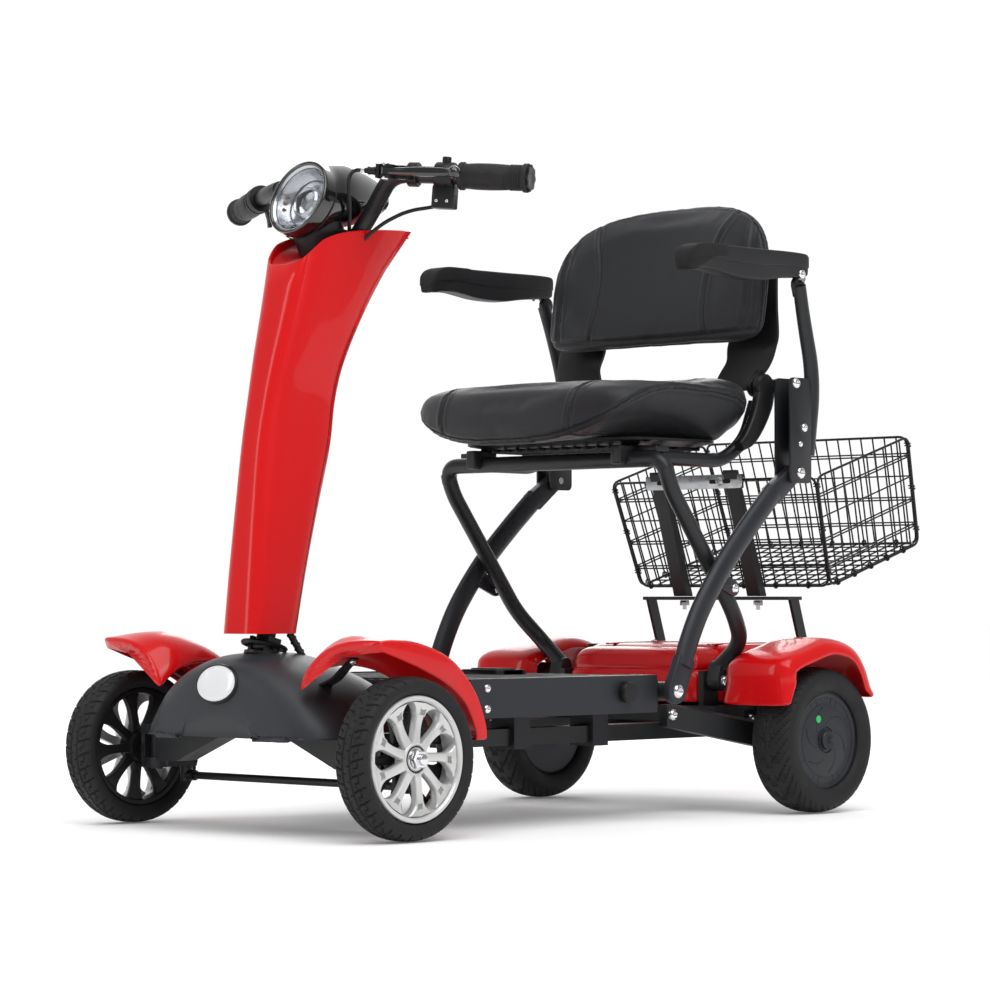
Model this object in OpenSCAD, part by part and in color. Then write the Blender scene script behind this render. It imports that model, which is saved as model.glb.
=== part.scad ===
// Four-wheel folding mobility scooter with a scissor seat frame.
// Front is -Y, rear is +Y, the rider's left is +X, Z is up from the floor.
// Places are laid out about the middle of the wheelbase and then moved back by
// centre_y, so that the origin lies on the floor under the middle of the whole box.

/* [Wheels] */
// Radius of the four tyres
wheel_r = 100; // [98:0.5:102]
// Distance between the front and rear axles
wheelbase = 781; // [776:1:786]
// Distance between the middles of the front tyres
front_track = 514; // [510:1:518]
// Distance between the middles of the rear tyres
rear_track = 518; // [514:1:522]
// Width of a front tyre
front_tyre_w = 49; // [44:1:50]
// Width of a rear tyre
rear_tyre_w = 68; // [60:1:69]

/* [Seat] */
// Width of the seat cushion
seat_w = 410; // [396:1:412]
// Width of the backrest cushion
back_w = 404; // [380:1:408]

/* [Column] */
// Lean of the steering column from the vertical, in degrees
column_rake = 14.5; // [13.5:0.5:15]
// Outside radius of the steering post
post_r = 12; // [10:0.5:13]

/* [Basket] */
// Inside depth of the basket from front to rear
basket_d = 222; // [200:1:224]
// Tilt of the basket floor, in degrees
basket_tilt = 17; // [14:1:19]

/* [Hidden] */
$fn = 48;

// Shift that puts the origin under the middle of the box
centre_y = -125;
// Radial clearance of every running fit
fit = 0.06;
front_y = -wheelbase / 2;
rear_y = wheelbase / 2;
front_x = front_track / 2;
rear_x = rear_track / 2;
axle_r = 6;
motor_axle_r = 8;
kingpin_x = 208;
kingpin_r = 8;
rim_r = 77.6;
hub_r = 66;
// Foot of the steering post, and the cross pin that it folds on, in column axes
post_foot = [0, -388, 242];
fold_pin_h = -8;
fold_pin_r = 5;
// Pivots of the scissor legs, as [y, z]
foot_pivot = [134, 171];
rear_pivot = [320, 180];
top_pivot = [388, 468];
seat_pivot = [143, 482];
back_pivot = [353, 588];
arm_pivot = [385, 737];
leg_b_x = 206;
leg_b_r = 11;
leg_a_x = 231;
shaft_r = 12.5;
pivot_r = 5;
rear_pin_r = 6;
crossbar = [374, 590];
// Handlebar: the grip line leans back and drops a little towards its end
bar_r = 11;
grip_in = [192, -230, 829.5];
grip_out = [275, -190.6, 823];
grip_dir = (grip_out - grip_in) / norm(grip_out - grip_in);
lamp = [0, -326, 807];
lamp_tilt = 20;
basket_foot = [0, 528, 309.5];
basket_h = 165;
// Routes of the cords, as points along their middles
brake_route = [[94, -307, 838], [87, -311, 839], [80, -313, 837], [74, -312, 832], [69, -309, 825],
    [64, -304, 817], [59, -299, 808], [54, -293, 798], [48, -287, 788], [42, -282, 778],
    [37, -278, 768], [32, -275, 758], [28, -272, 748], [24, -270, 738], [22, -268, 728]];
switch_route = [[137, -217, 797], [128, -219, 796], [118, -222, 795], [108, -226, 794],
    [98, -230, 792], [88, -234, 789], [79, -238, 785], [70, -243, 780], [62, -248, 774],
    [54, -253, 767], [46, -258, 759], [39, -262, 750], [33, -265, 740], [28, -267, 730]];
column_route = [[18, -366, 262], [19, -365, 257], [20, -364, 252], [21, -363, 247], [23, -361, 242]];

// ---- shared helpers ----
function unit(v) = v / norm(v);
// One corner of a path, rounded over the distance r on each side
function corner(a, b, c, r) = let(u = unit(a - b), v = unit(c - b))
    [for (t = [0:0.2:1]) pow(1 - t, 2) * (b + u * r) + 2 * t * (1 - t) * b + t * t * (b + v * r)];
// A path with its inner corners rounded
function rounded(p, r) = [for (i = [0:len(p) - 1])
    each (i == 0 || i == len(p) - 1) ? [p[i]] : corner(p[i - 1], p[i], p[i + 1], r)];
// An oval ring of points about one point of a path
function ring(p, i, ra, rb, ref, n) = let(last = len(p) - 1,
    t = unit(p[min(i + 1, last)] - p[max(i - 1, 0)]), s = unit(cross(ref, t)), m = cross(t, s))
    [for (k = [0:n - 1]) p[i] + ra * cos(360 * k / n) * s + rb * sin(360 * k / n) * m];
// Superellipse ring in a plane of constant y, half sizes a and b about (x, z)
function oval_y(y, z, a, b, n = 24) = [for (k = [0:n - 1]) let(c = cos(-360 * k / n), s = sin(-360 * k / n))
    [a * sign(c) * pow(abs(c), 0.6), y, z + b * sign(s) * pow(abs(s), 0.7)]];

module placed() translate([0, centre_y, 0]) children();
module on_side(side) placed() mirror([side < 0 ? 1 : 0, 0, 0]) children();
module both() {
    children();
    mirror([1, 0, 0]) children();
}
module along_x(x0, x1, y, z, r) translate([x0, y, z]) rotate([0, 90, 0]) cylinder(h = x1 - x0, r = r);
module along_x_at(at, half, r) translate(at) along_x(-half, half, 0, 0, r);
module block(lo, hi) translate(lo) cube(hi - lo);
// Solid through a list of rings with the same even number of points; each end is closed
// by a strip that pairs the first half of the ring with the second
module loft(rings) {
    n = len(rings[0]);
    last = len(rings) - 1;
    polyhedron(points = [for (r = rings) each r], faces = concat(
        [for (k = [0:n / 2 - 2]) [k, k + 1, n - 2 - k, n - 1 - k]],
        [for (k = [0:n / 2 - 2]) [last * n + n - 1 - k, last * n + n - 2 - k, last * n + k + 1, last * n + k]],
        [for (i = [0:last - 1]) for (k = [0:n - 1])
            each [[i * n + k, (i + 1) * n + k, (i + 1) * n + (k + 1) % n],
                [i * n + k, (i + 1) * n + (k + 1) % n, i * n + (k + 1) % n]]]));
}
module tube(path, ra, rb, ref = [1, 0, 0], n = 12)
    loft([for (i = [0:len(path) - 1]) ring(path, i, ra, rb, ref, n)]);
// Wall between two stacks of rings, open at both ends
module shell(outer, inner) {
    n = len(outer[0]);
    rows = len(outer);
    far = n * rows;
    top = (rows - 1) * n;
    polyhedron(points = concat([for (r = outer) each r], [for (r = inner) each r]), faces = concat(
        [for (i = [0:rows - 2]) for (k = [0:n - 1])
            [i * n + k, (i + 1) * n + k, (i + 1) * n + (k + 1) % n, i * n + (k + 1) % n]],
        [for (i = [0:rows - 2]) for (k = [0:n - 1])
            [far + i * n + (k + 1) % n, far + (i + 1) * n + (k + 1) % n, far + (i + 1) * n + k, far + i * n + k]],
        [for (k = [0:n - 1]) [k, (k + 1) % n, far + (k + 1) % n, far + k]],
        [for (k = [0:n - 1]) [far + top + k, far + top + (k + 1) % n, top + (k + 1) % n, top + k]]));
}
module column() placed() translate(post_foot) rotate([-column_rake, 0, 0]) children();
module grip_axis() placed() translate(grip_in) rotate([0, 90 - asin(grip_dir[2]), atan2(grip_dir[1], grip_dir[0])])
    children();

// ---- wheels ----
module tyre(r_in, width) {
    h = width / 2;
    rotate([0, 90, 0]) rotate_extrude() polygon([[r_in, -h + 7], [r_in + 6, -h + 1], [wheel_r - 14, -h],
        [wheel_r - 5, -h + 4], [wheel_r, -h + 13], [wheel_r, h - 13], [wheel_r - 5, h - 4],
        [wheel_r - 14, h], [r_in + 6, h - 1], [r_in, h - 7]]);
}
module front_wheel(side) on_side(side) translate([front_x, front_y, wheel_r]) children();
module rear_wheel(side) on_side(side) translate([rear_x, rear_y, wheel_r]) children();
module front_rim() rotate([0, 90, 0]) {
    rotate_extrude() polygon([[70, -17], [77, -17.5], [rim_r, -16], [rim_r, 16], [77, 21], [71, 25], [69, 24]]);
    difference() {
        translate([0, 0, -21]) cylinder(h = 43, r = 17);
        translate([0, 0, -25]) cylinder(h = 50, r = axle_r + fit);
    }
    for (k = [0:8]) rotate(k * 40) translate([15, -5, 8]) cube([56, 10, 11]);
}
module rear_hub() rotate([0, 90, 0]) {
    difference() {
        union() {
            translate([0, 0, -27]) cylinder(h = 46, r = hub_r);
            translate([0, 0, 19]) cylinder(h = 4, r = 51);
            translate([0, 0, 23]) cylinder(h = 7, r = 13.5);
        }
        translate([0, 0, -30]) cylinder(h = 45, r = motor_axle_r + fit);
    }
}
module front_tyre_left() color("dimgray") front_wheel(1) tyre(rim_r, front_tyre_w);
module front_tyre_right() color("dimgray") front_wheel(-1) tyre(rim_r, front_tyre_w);
module front_rim_left() color("silver") front_wheel(1) front_rim();
module front_rim_right() color("silver") front_wheel(-1) front_rim();
module rear_tyre_left() color("dimgray") rear_wheel(1) tyre(hub_r, rear_tyre_w);
module rear_tyre_right() color("dimgray") rear_wheel(-1) tyre(hub_r, rear_tyre_w);
module rear_hub_left() color("darkslategray") rear_wheel(1) rear_hub();
module rear_hub_right() color("darkslategray") rear_wheel(-1) rear_hub();

// ---- rear chassis ----
// Arm that carries the motor axle, and the ear that the rear scissor leg turns in
module rear_arm() {
    hull() {
        block([142, 205, 120], [156, 222, 150]);
        block([196, 372, 84], [212, 404, 116]);
    }
    along_x(205, 221, rear_y, wheel_r, 18);
    along_x(212, rear_x + 13, rear_y, wheel_r, motor_axle_r);
    block([127, 304, 140], [136, 336, 194]);
    along_x(130, 162.4, rear_pivot[0], rear_pivot[1], rear_pin_r);
}
module rear_frame() color("dimgray") placed() {
    both() {
        block([96, -190, 102], [126, 440, 124]);
        rear_arm();
    }
    block([-171, 285, 124], [171, 350, 146]);
    block([-126, 405, 102], [126, 440, 124]);
    // Tray that the battery and its cover stand on
    block([-160, 345, 139], [160, 536, 149.5]);
    both() block([96, 405, 120], [126, 440, 142]);
}
// Hollow cover over the battery, open underneath
module rear_cover() color("red") placed() difference() {
    union() {
        hull() both() {
            block([120, 356, 150], [165, 540, 192]);
            block([120, 372, 192], [156, 535, 230]);
        }
        // Narrower nose ahead of the wheels
        hull() both() {
            block([90, 298, 150], [124, 390, 190]);
            block([90, 312, 190], [118, 390, 226]);
        }
    }
    hull() both() {
        block([120, 360, 149], [161, 536, 191]);
        block([120, 376, 191], [152, 531, 226]);
    }
    hull() both() {
        block([90, 302, 149], [120, 392, 189]);
        block([90, 316, 189], [114, 392, 222]);
    }
}
fender_outer = [[286, 148], [286, 200], [298, 218], [340, 231], [385, 241], [420, 238], [455, 222],
    [478, 190], [488, 157]];
fender_inner = [[484, 156], [474, 188], [452, 218], [419, 233.5], [385, 236.5], [341, 226.5],
    [301, 214], [290.5, 198], [290.5, 148]];
module fender_sheet(x0, x1, points) multmatrix([[0, 0, 1, x0], [1, 0, 0, 0], [0, 1, 0, 0], [0, 0, 0, 1]])
    linear_extrude(height = x1 - x0) polygon(points);
module rear_fender() {
    fender_sheet(219, 298, concat(fender_outer, fender_inner));
    fender_sheet(294, 298, concat(fender_outer, [for (p = fender_inner) [375 + (p[0] - 375) * 0.93, p[1] - 8]]));
    // Stay that holds the fender to the frame
    block([172, 405, 118], [176, 425, 232]);
    block([172, 405, 228], [222, 425, 232]);
    block([126, 405, 118], [176, 425, 138.5]);
}
module rear_fender_left() color("red") on_side(1) rear_fender();
module rear_fender_right() color("red") on_side(-1) rear_fender();
module battery_pack() color("black") placed() block([-110, 380, 150], [110, 520, 215]);
// Inverted U of flat bar that carries the basket, with two bolt holes
module rack_bracket() color("dimgray") placed() difference() {
    union() {
        block([-138, 486, 292], [138, 518, 297]);
        both() hull() {
            block([133, 493, 292], [138, 510, 297]);
            block([133, 514, 230.3], [138, 531, 233]);
        }
    }
    for (x = [-70, 70]) translate([x, 502, 280]) cylinder(h = 30, r = 3.5);
}
module basket_posts() color("dimgray") placed() {
    both() hull() {
        block([58, 492, 297.5], [82, 506, 300]);
        block([58, 438, 474], [82, 444, 478]);
    }
    block([-92, 441, 452], [92, 444, 472]);
}
// Basket: five walls in place of its wires, tilted back
module basket() color("black") placed() translate(basket_foot) rotate([basket_tilt, 0, 0]) difference() {
    hull() both() {
        block([170, 0, 0], [182, basket_d, 1]);
        block([188, -1, basket_h - 8], [198, basket_d + 2, basket_h]);
    }
    hull() both() {
        block([166, 4, 4], [178, basket_d - 4, 5]);
        block([184, 3, basket_h - 1], [194, basket_d - 2, basket_h + 4]);
    }
}
module rear_bolts() color("silver") placed() {
    both() along_x(162.5, 168, rear_pivot[0], rear_pivot[1], 9);
    both() difference() {
        along_x(156, 165, 213, 136, 9);
        rear_arm();
    }
    for (x = [-70, 70]) translate([x, 502, 284]) cylinder(h = 8, r = 6);
}

// ---- front chassis ----
module footboard_frame() color("dimgray") placed() {
    both() {
        block([190, -236, 143], [215, 118, 193]);
        // Ear that the foot shaft of the scissor turns in
        difference() {
            union() {
                block([176, 96, 150], [189, 134, 186]);
                along_x(176, 189, foot_pivot[0], foot_pivot[1], 18);
            }
            along_x(170, 195, foot_pivot[0], foot_pivot[1], shaft_r + fit);
        }
    }
    block([-190, -236, 150], [190, -206, 186]);
    block([-190, 92, 150], [190, 112, 186]);
    block([-190, -70, 160], [190, -40, 186]);
    // Guides that the rear chassis telescopes through
    for (y = [-70, 82]) both() difference() {
        block([90, y, 97], [132, y + 30, 162]);
        block([95.5, y - 1, 101.5], [126.5, y + 31, 124.5]);
    }
}
module footboard_deck() color("black") placed() {
    block([-189.5, -236, 186.5], [189.5, 112, 190]);
    for (k = [-9:9]) block([k * 19 - 5, -230, 190], [k * 19 + 5, 106, 192]);
    block([-38, 0, 192], [38, 50, 198]);
}
// Cross beam, head tube, sloping arms and the upright pins that the wheels steer about
spring_line = [[112, -391, 174], [124, -391, 154], [136, -391, 134], [144, -391, 119]];
module front_frame() color("dimgray") placed() difference() {
    front_frame_body();
    // Pockets that the springs stand in
    both() tube([[109, -391, 179], [124, -391, 154], [136, -391, 134], [147, -391, 113]], 11.7, 11.7, [0, 1, 0], 12);
}
module front_frame_body() {
    block([-62, -412, 128], [62, -236, 150]);
    block([-189, -250, 128], [189, -226, 149]);
    difference() {
        translate(post_foot) rotate([-column_rake, 0, 0]) translate([0, 0, -98]) cylinder(h = 74, r = 22);
        translate(post_foot) rotate([-column_rake, 0, 0]) translate([0, 0, -110]) cylinder(h = 100, r = post_r + fit);
    }
    both() {
        hull() {
            block([40, -408, 128], [60, -374, 150]);
            block([150, -408, 84], [172, -374, 116]);
        }
        block([160, -408, 84], [190, -374, 120]);
        block([186, front_y - 7, 88], [kingpin_x, front_y + 7, 116]);
        translate([kingpin_x, front_y, 72]) cylinder(h = 60, r = kingpin_r);
        block([96, -402, 150], [104, -380, 196]);
        hull() {
            block([60, -402, 140], [64, -380, 150]);
            block([96, -402, 186], [104, -380, 196]);
        }
    }
}
// Moulded cover over the front frame, open underneath
cowl_side = [[36, 224], [58, 220], [98, 205], [122, 182], [142, 152], [158, 122]];
function cowl_ring(y, k, lift) = concat([for (p = cowl_side) [p[0] * k, y, p[1] - lift]],
    [for (i = [len(cowl_side) - 1:-1:0]) [-cowl_side[i][0] * k, y, cowl_side[i][1] - lift]]);
module cowl_solid(inset) loft([for (s = [[-470 + inset, 0.55, 26], [-462 + inset, 0.78, 14], [-445, 1, 6],
    [-410, 1.06, 0], [-360, 1.04, 0], [-310, 0.98, 12], [-268 - inset, 0.9, 26]])
    cowl_ring(s[0], s[1] * (1 - inset / 140), s[2] + inset)]);
module front_cover() color("dimgray") placed() difference() {
    cowl_solid(0);
    cowl_solid(4);
    translate([-200, -500, 90]) cube([400, 300, 33]);
    // Openings for the badge, the frame and the fender brackets
    badge_disc();
    block([-64, -280, 110], [64, -255, 152]);
    both() tube(bracket_line, 3.5, 9.5, [0, 1, 0], 8);
    both() along_x(100, 114, -391, 187, 6);
    both() block([94.5, -403.5, 140], [105.5, -378.5, 197.5]);
    translate(post_foot) rotate([-column_rake, 0, 0]) translate([0, 0, -60]) cylinder(h = 80, r = 27);
}
module badge_disc() translate([0, -464, 180]) rotate([78, 0, 0]) scale([1.3, 1, 1]) cylinder(h = 8, r = 21);
module badge() color("whitesmoke") placed() badge_disc();
// Curved sheet over a front wheel: each row is its inner point, then its outer point
wing = [[[131, -451, 182], [262, -438, 243.5]], [[130, -420, 203], [264, -410, 242]],
    [[133, -380, 212], [264, -368, 231]], [[140, -335, 203], [262, -319, 211]],
    [[150, -297, 180], [260, -291, 183]], [[158, -270, 152], [259, -261, 151]],
    [[165, -253, 122], [258, -246, 121]]];
function wing_ring(a, b, t) = let(u = (b - a) / 4, z = [0, 0, 1], e = unit(b - a)) [a, a + u + 6 * z, a + 2 * u + 9 * z,
    a + 3 * u + 7 * z, b, b - 13 * z, b - 4 * e - 13 * z, b - 4 * e - t * z, a + 3 * u + (7 - t) * z,
    a + 2 * u + (9 - t) * z, a + u + (6 - t) * z, a - t * z];
module front_fender() loft([for (w = wing) wing_ring(w[0], w[1], 4)]);
module front_fender_left() color("red") on_side(1) front_fender();
module front_fender_right() color("red") on_side(-1) front_fender();
bracket_line = [[107, -391, 189], [128, -397, 191], [160, -404, 205], [186, -408, 218.5]];
module fender_brackets() color("black") placed() both() {
    tube(bracket_line, 2, 8, [0, 1, 0], 8);
    along_x(104.3, 112, -391, 187, 4.5);
}
module front_springs() color("red") placed() both() tube(spring_line, 11, 11, [0, 1, 0], 12);

// ---- steering ----
module steering_head() color("black") column() {
    translate([0, 0, -90]) cylinder(h = 72, r = post_r);
    translate([0, 0, -22]) cylinder(h = 4, r = 24);
    both() block([post_r + 0.5, -11, -20], [post_r + 6, 11, 3]);
    along_x(-21, 21, 0, fold_pin_h, fold_pin_r);
}
module knuckle() {
    for (z = [74, 117]) difference() {
        union() {
            translate([kingpin_x, front_y, z]) cylinder(h = 13, r = 14);
            block([kingpin_x, front_y - 12, z], [222, front_y + 12, z + 13]);
        }
        translate([kingpin_x, front_y, z - 2]) cylinder(h = 17, r = kingpin_r + fit);
    }
    block([219, front_y - 12, 74], [226, front_y + 12, 130]);
    along_x(224, front_x + 32, front_y, wheel_r, axle_r);
    along_x(front_x + 22.5, front_x + 28, front_y, wheel_r, 10);
    // Steering arm and its joint
    block([kingpin_x - 7, front_y + 10, 74], [kingpin_x + 7, front_y + 60, 80]);
}
module knuckle_left() color("dimgray") on_side(1) knuckle();
module knuckle_right() color("dimgray") on_side(-1) knuckle();
module tie_rod() color("black") placed() {
    along_x(-196, 196, front_y + 50, 62, 5);
    both() translate([kingpin_x, front_y + 50, 54]) cylinder(h = 19.5, r = 8);
    both() along_x(190, 204, front_y + 50, 62, 7);
}

// ---- tiller ----
module steering_post() color("black") column() difference() {
    union() {
        translate([0, 0, fold_pin_h]) cylinder(h = 546, r = post_r);
        along_x(-post_r, post_r, 0, fold_pin_h, 9.5);
        translate([0, 0, 500]) along_x(-34, 34, 0, 0, 17);
    }
    along_x(-30, 30, 0, fold_pin_h, fold_pin_r + fit);
}
// Levels of the shroud: height, half width, front y, rear y
shroud_levels = [[250, 37, -438, -357], [330, 35, -431, -338], [410, 33, -423, -316], [490, 31, -414, -293],
    [550, 32, -403, -285], [600, 36, -392, -271], [650, 40, -380, -243], [700, 44, -369, -208], [735, 47, -362, -182]];
function shroud_ring(level, wall) = let(w = level[1] - wall, f = level[2] + wall, r = level[3] - wall, m = (f + r) / 2,
    d = (r - f) / 2) [for (k = [0:23]) let(c = cos(15 * k), s = sin(15 * k))
    [w * sign(c) * pow(abs(c), 0.55), m + d * sign(s) * pow(abs(s), 0.55), level[0]]];
// Saddle-shaped top edge: low at the front and the sides' front, rising to a horn at the rear
function shroud_top(wall) = [for (p = shroud_ring(shroud_levels[8], wall)) let(t = (p[1] + 362) / 180)
    [p[0], p[1] + 18 * t - (t < 0.25 ? 10 : 0), 735 + 40 * t * t * (3 - 2 * t) + (t < 0.1 ? 14 : 0)]];
module column_shroud() color("red") placed()
    shell([for (l = shroud_levels) shroud_ring(l, 0), shroud_top(0)], [for (l = shroud_levels) shroud_ring(l, 3), shroud_top(3)]);
module handlebar() {
    tube(rounded([[20, -259, 752], [44, -250, 786], [102, -265, 836], grip_in - 62 * grip_dir], 24), bar_r - 0.3, bar_r - 0.3,
        [0, 1, 0], 16);
}
module bar_straight() grip_axis() translate([0, 0, -72]) cylinder(h = 160, r = bar_r);
module handlebar_left() color("black") {
    on_side(1) handlebar();
    bar_straight();
}
module handlebar_right() color("black") {
    on_side(-1) handlebar();
    mirror([1, 0, 0]) bar_straight();
}
module grip() grip_axis() difference() {
    union() {
        translate([0, 0, 2]) cylinder(h = 92, r = 16.5);
        translate([0, 0, 86]) cylinder(h = 9, r = 18.5);
        cylinder(h = 6, r = 18);
    }
    translate([0, 0, -3]) cylinder(h = 91, r = bar_r);
}
module grip_left() color("black") grip();
module grip_right() color("black") mirror([1, 0, 0]) grip();
module lamp_axis() placed() translate(lamp) rotate([90 - lamp_tilt, 0, 0]) children();
module headlight_housing() color("black") difference() {
    union() {
        placed() hull() {
            translate(lamp) rotate([90 - lamp_tilt, 0, 0]) translate([0, 0, -12]) cylinder(h = 20, r = 51);
            translate([0, -285, 814]) sphere(r = 44, $fn = 32);
            translate([0, -208, 816]) sphere(r = 30, $fn = 32);
        }
        placed() hull() {
            translate([0, -290, 784]) cylinder(h = 10, r = 30, $fn = 32);
            translate([0, -286, 742]) cylinder(h = 10, r = 20, $fn = 32);
        }
    }
    lamp_axis() translate([0, 0, -22]) cylinder(h = 40, r = 46);
    column() cylinder(h = 545, r = post_r + fit);
    column() translate([0, 0, 500]) along_x(-36, 36, 0, 0, 17 + fit);
}
module headlight_reflector() color("gainsboro") lamp_axis() {
    rotate_extrude() polygon([[0, -21], [20, -21], [40, -8], [45.6, 0], [45.6, -21.5], [0, -21.9]]);
    translate([0, 0, -21]) cylinder(h = 18, r = 19);
}
module headlight_lens() color("lightblue") lamp_axis()
    rotate_extrude() polygon([[0, 6], [24, 4.5], [45.6, 1], [45.6, 4], [24, 7.5], [0, 9]]);
// Clamp of the brake lever, with the ear that the lever turns in
module brake_perch() color("black") grip_axis() {
    difference() {
        translate([0, 0, -70]) cylinder(h = 14, r = 16);
        translate([0, 0, -72]) cylinder(h = 18, r = bar_r);
    }
    block([-9, -34, -100], [-4.5, -17, -82]);
    block([4.5, -34, -100], [9, -17, -82]);
    block([-9, -23, -80], [9, -12, -58]);
    block([-9, -20, -100], [9, -17, -78]);
    along_x_at([0, -28, -92], 11, 3);
    translate([0, -28, -122]) cylinder(h = 23, r = 4);
    block([-9, -32, -104], [9, -20, -99]);
}
module brake_lever() color("black") grip_axis() difference() {
    union() {
        along_x_at([0, -28, -92], 4, 6.5);
        hull() {
            block([-4, -31, -90], [4, -25, -86]);
            block([-6, -40, -46], [6, -32, -40]);
        }
        hull() {
            block([-6, -40, -46], [6, -32, -40]);
            block([-4, -43, -4], [4, -37, 2]);
        }
        translate([0, -40, 5]) sphere(r = 8.5, $fn = 32);
    }
    along_x_at([0, -28, -92], 8, 3 + fit);
}
module switch_pod() color("black") grip_axis() {
    difference() {
        translate([0, 0, -32]) cylinder(h = 24, r = 17);
        translate([0, 0, -34]) cylinder(h = 28, r = bar_r);
        translate([-30, 0, -20]) rotate([0, 90, 0]) cylinder(h = 18, r = 6.5);
    }
    block([15, -8, -44], [42, 16, -14]);
}
module horn_button() color("dimgray") grip_axis() translate([-24, 0, -20]) rotate([0, 90, 0]) cylinder(h = 9, r = 6);
module throttle_lever() color("lightgray") mirror([1, 0, 0]) grip_axis() difference() {
    union() {
        translate([0, 0, -18]) cylinder(h = 13, r = 18);
        block([10, 6, -17], [38, 15, -6]);
    }
    translate([0, 0, -20]) cylinder(h = 18, r = bar_r + fit);
}
module brake_cable() color("black") placed() tube(brake_route, 2.5, 2.5, [0.3, 1, 0.2], 8);
module switch_lead() color("black") placed() tube(switch_route, 2.5, 2.5, [0.3, 1, 0.2], 8);
module column_lead() color("black") placed() tube(column_route, 4, 4, [1, 0, 0], 8);

// ---- scissor seat frame ----
module leg_b() color("black") placed() {
    along_x(-150, 150, seat_pivot[0], seat_pivot[1], leg_b_r);
    both() {
        tube(rounded([[149, 143, 482], [leg_b_x, 143, 482], [leg_b_x, 152, 448], [leg_b_x, 286, 275],
            [190, 322, 234], [150, 323, 200]], 26), leg_b_r, leg_b_r, [0, 0.78, 0.63], 12);
        difference() {
            hull() {
                along_x(138, 162, rear_pivot[0], rear_pivot[1], 14);
                along_x(141, 160, 322, 198, 11);
            }
            along_x(130, 170, rear_pivot[0], rear_pivot[1], rear_pin_r + fit);
        }
    }
}
module leg_a(side) on_side(side) {
    tube(rounded([[leg_a_x, 150, 206], [leg_a_x, 178, 265], [leg_a_x, 215, 315], [leg_a_x, 268, 372], [227, 345, 440]], 12),
        16, 10, [1, 0, 0], 16);
    hull() {
        along_x(226, 238, foot_pivot[0], foot_pivot[1], 17);
        block([226, 138, 205], [238, 168, 216]);
    }
    hull() {
        block([219, 330, 425], [234, 352, 446]);
        along_x(219, 234, top_pivot[0], top_pivot[1], 12);
    }
    along_x(211, 245, top_pivot[0], top_pivot[1], pivot_r);
    along_x(236, 242, foot_pivot[0], foot_pivot[1], 8);
    along_x(241.8, 245, top_pivot[0], top_pivot[1], 8);
    // Tab and bolt at the crossing, which stop short of the other leg
    hull() {
        along_x(222, 228, 230, 322, 12);
        along_x(222, 228, 262, 308, 11);
    }
    along_x(217.8, 224, 262, 308, 6);
}
module leg_a_left() color("dimgray") leg_a(1);
module leg_a_right() color("dimgray") leg_a(-1);
module leg_a_shaft() color("black") placed() along_x(-226, 226, foot_pivot[0], foot_pivot[1], shaft_r);

// Channel that hangs on the leg, and the armrest tube that rises out of it
module seat_post(side) on_side(side) {
    difference() {
        union() {
            block([213, 366, 454], [216, 412, 600]);
            block([238.5, 366, 454], [241.5, 412, 600]);
        }
        along_x(200, 250, top_pivot[0], top_pivot[1], pivot_r + fit);
    }
    block([213, 408, 500], [241.5, 412, 600]);
    tube(rounded([[229, 417, 494], [236, 424, 600], [239, 396, 690], [243, arm_pivot[0], arm_pivot[1] - 17]], 20), 9.5, 9,
        [1, 0, 0], 12);
    along_x(236.5, 250, arm_pivot[0], arm_pivot[1], pivot_r);
    along_x(236, 244, arm_pivot[0], arm_pivot[1] - 8, 12);
    along_x(241.5, 245, 378, 592, 8);
    along_x(241.5, 244, 396, 531, 6);
}
module seat_post_left() color("black") seat_post(1);
module seat_post_right() color("black") seat_post(-1);
module armrest(side) on_side(side) difference() {
    hull() {
        block([228, 350, 727], [258, 394, 748]);
        block([226, 366, 760], [260, 394, 772]);
        block([226, 150, 744], [260, 166, 768]);
        block([228, 280, 724], [258, 300, 730]);
        block([226, 138, 724], [260, 150, 750]);
    }
    along_x(220, 270, arm_pivot[0], arm_pivot[1], pivot_r + fit);
    block([235.5, 366, 700], [244.5, 400, 752]);
}
module armrest_left() color("dimgray") armrest(1);
module armrest_right() color("dimgray") armrest(-1);

// ---- seat ----
module seat_rails() color("black") placed() {
    both() {
        difference() {
            block([128, 120, 476], [146, 166, 502]);
            along_x(120, 150, seat_pivot[0], seat_pivot[1], leg_b_r + fit);
        }
        tube(rounded([[178, 168, 484], [178, 296, 484], [185, 336, 514], [190, 352, 566]], 22), 10, 10, [1, 0, 0], 12);
        block([128, 160, 490], [186, 186, 502]);
        // Ears at the rear corners for the backrest hinge and the cross tube
        block([196, 338, 560], [200, 386, 602]);
        block([182, 338, 552], [200, 366, 570]);
        along_x(198, 212.4, crossbar[0], crossbar[1], 10);
    }
    both() along_x(183, 206, back_pivot[0], back_pivot[1], pivot_r);
    for (y = [200, 270]) block([-180, y, 491], [180, y + 24, 496]);
}
module seat_pan() color("black") placed() difference() {
    hull() {
        block([-168, 122, 508], [168, 316, 513]);
        block([-150, 130, 502.6], [150, 300, 504]);
    }
    for (x = [-100, 0, 100]) block([x - 40, 150, 500], [x + 40, 280, 506]);
}
seat_rows = [[58, 540, 150, 22], [64, 541, 188, 34], [90, 550, 205, 42], [150, 560, 205, 41], [220, 562, 205, 42],
    [285, 558, 205, 42], [318, 556, 196, 38], [330, 555, 182, 28]];
module seat_cushion() color("black") placed()
    loft([for (s = seat_rows) oval_y(s[0], s[1], s[2] * seat_w / 410, s[3])]);
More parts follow.
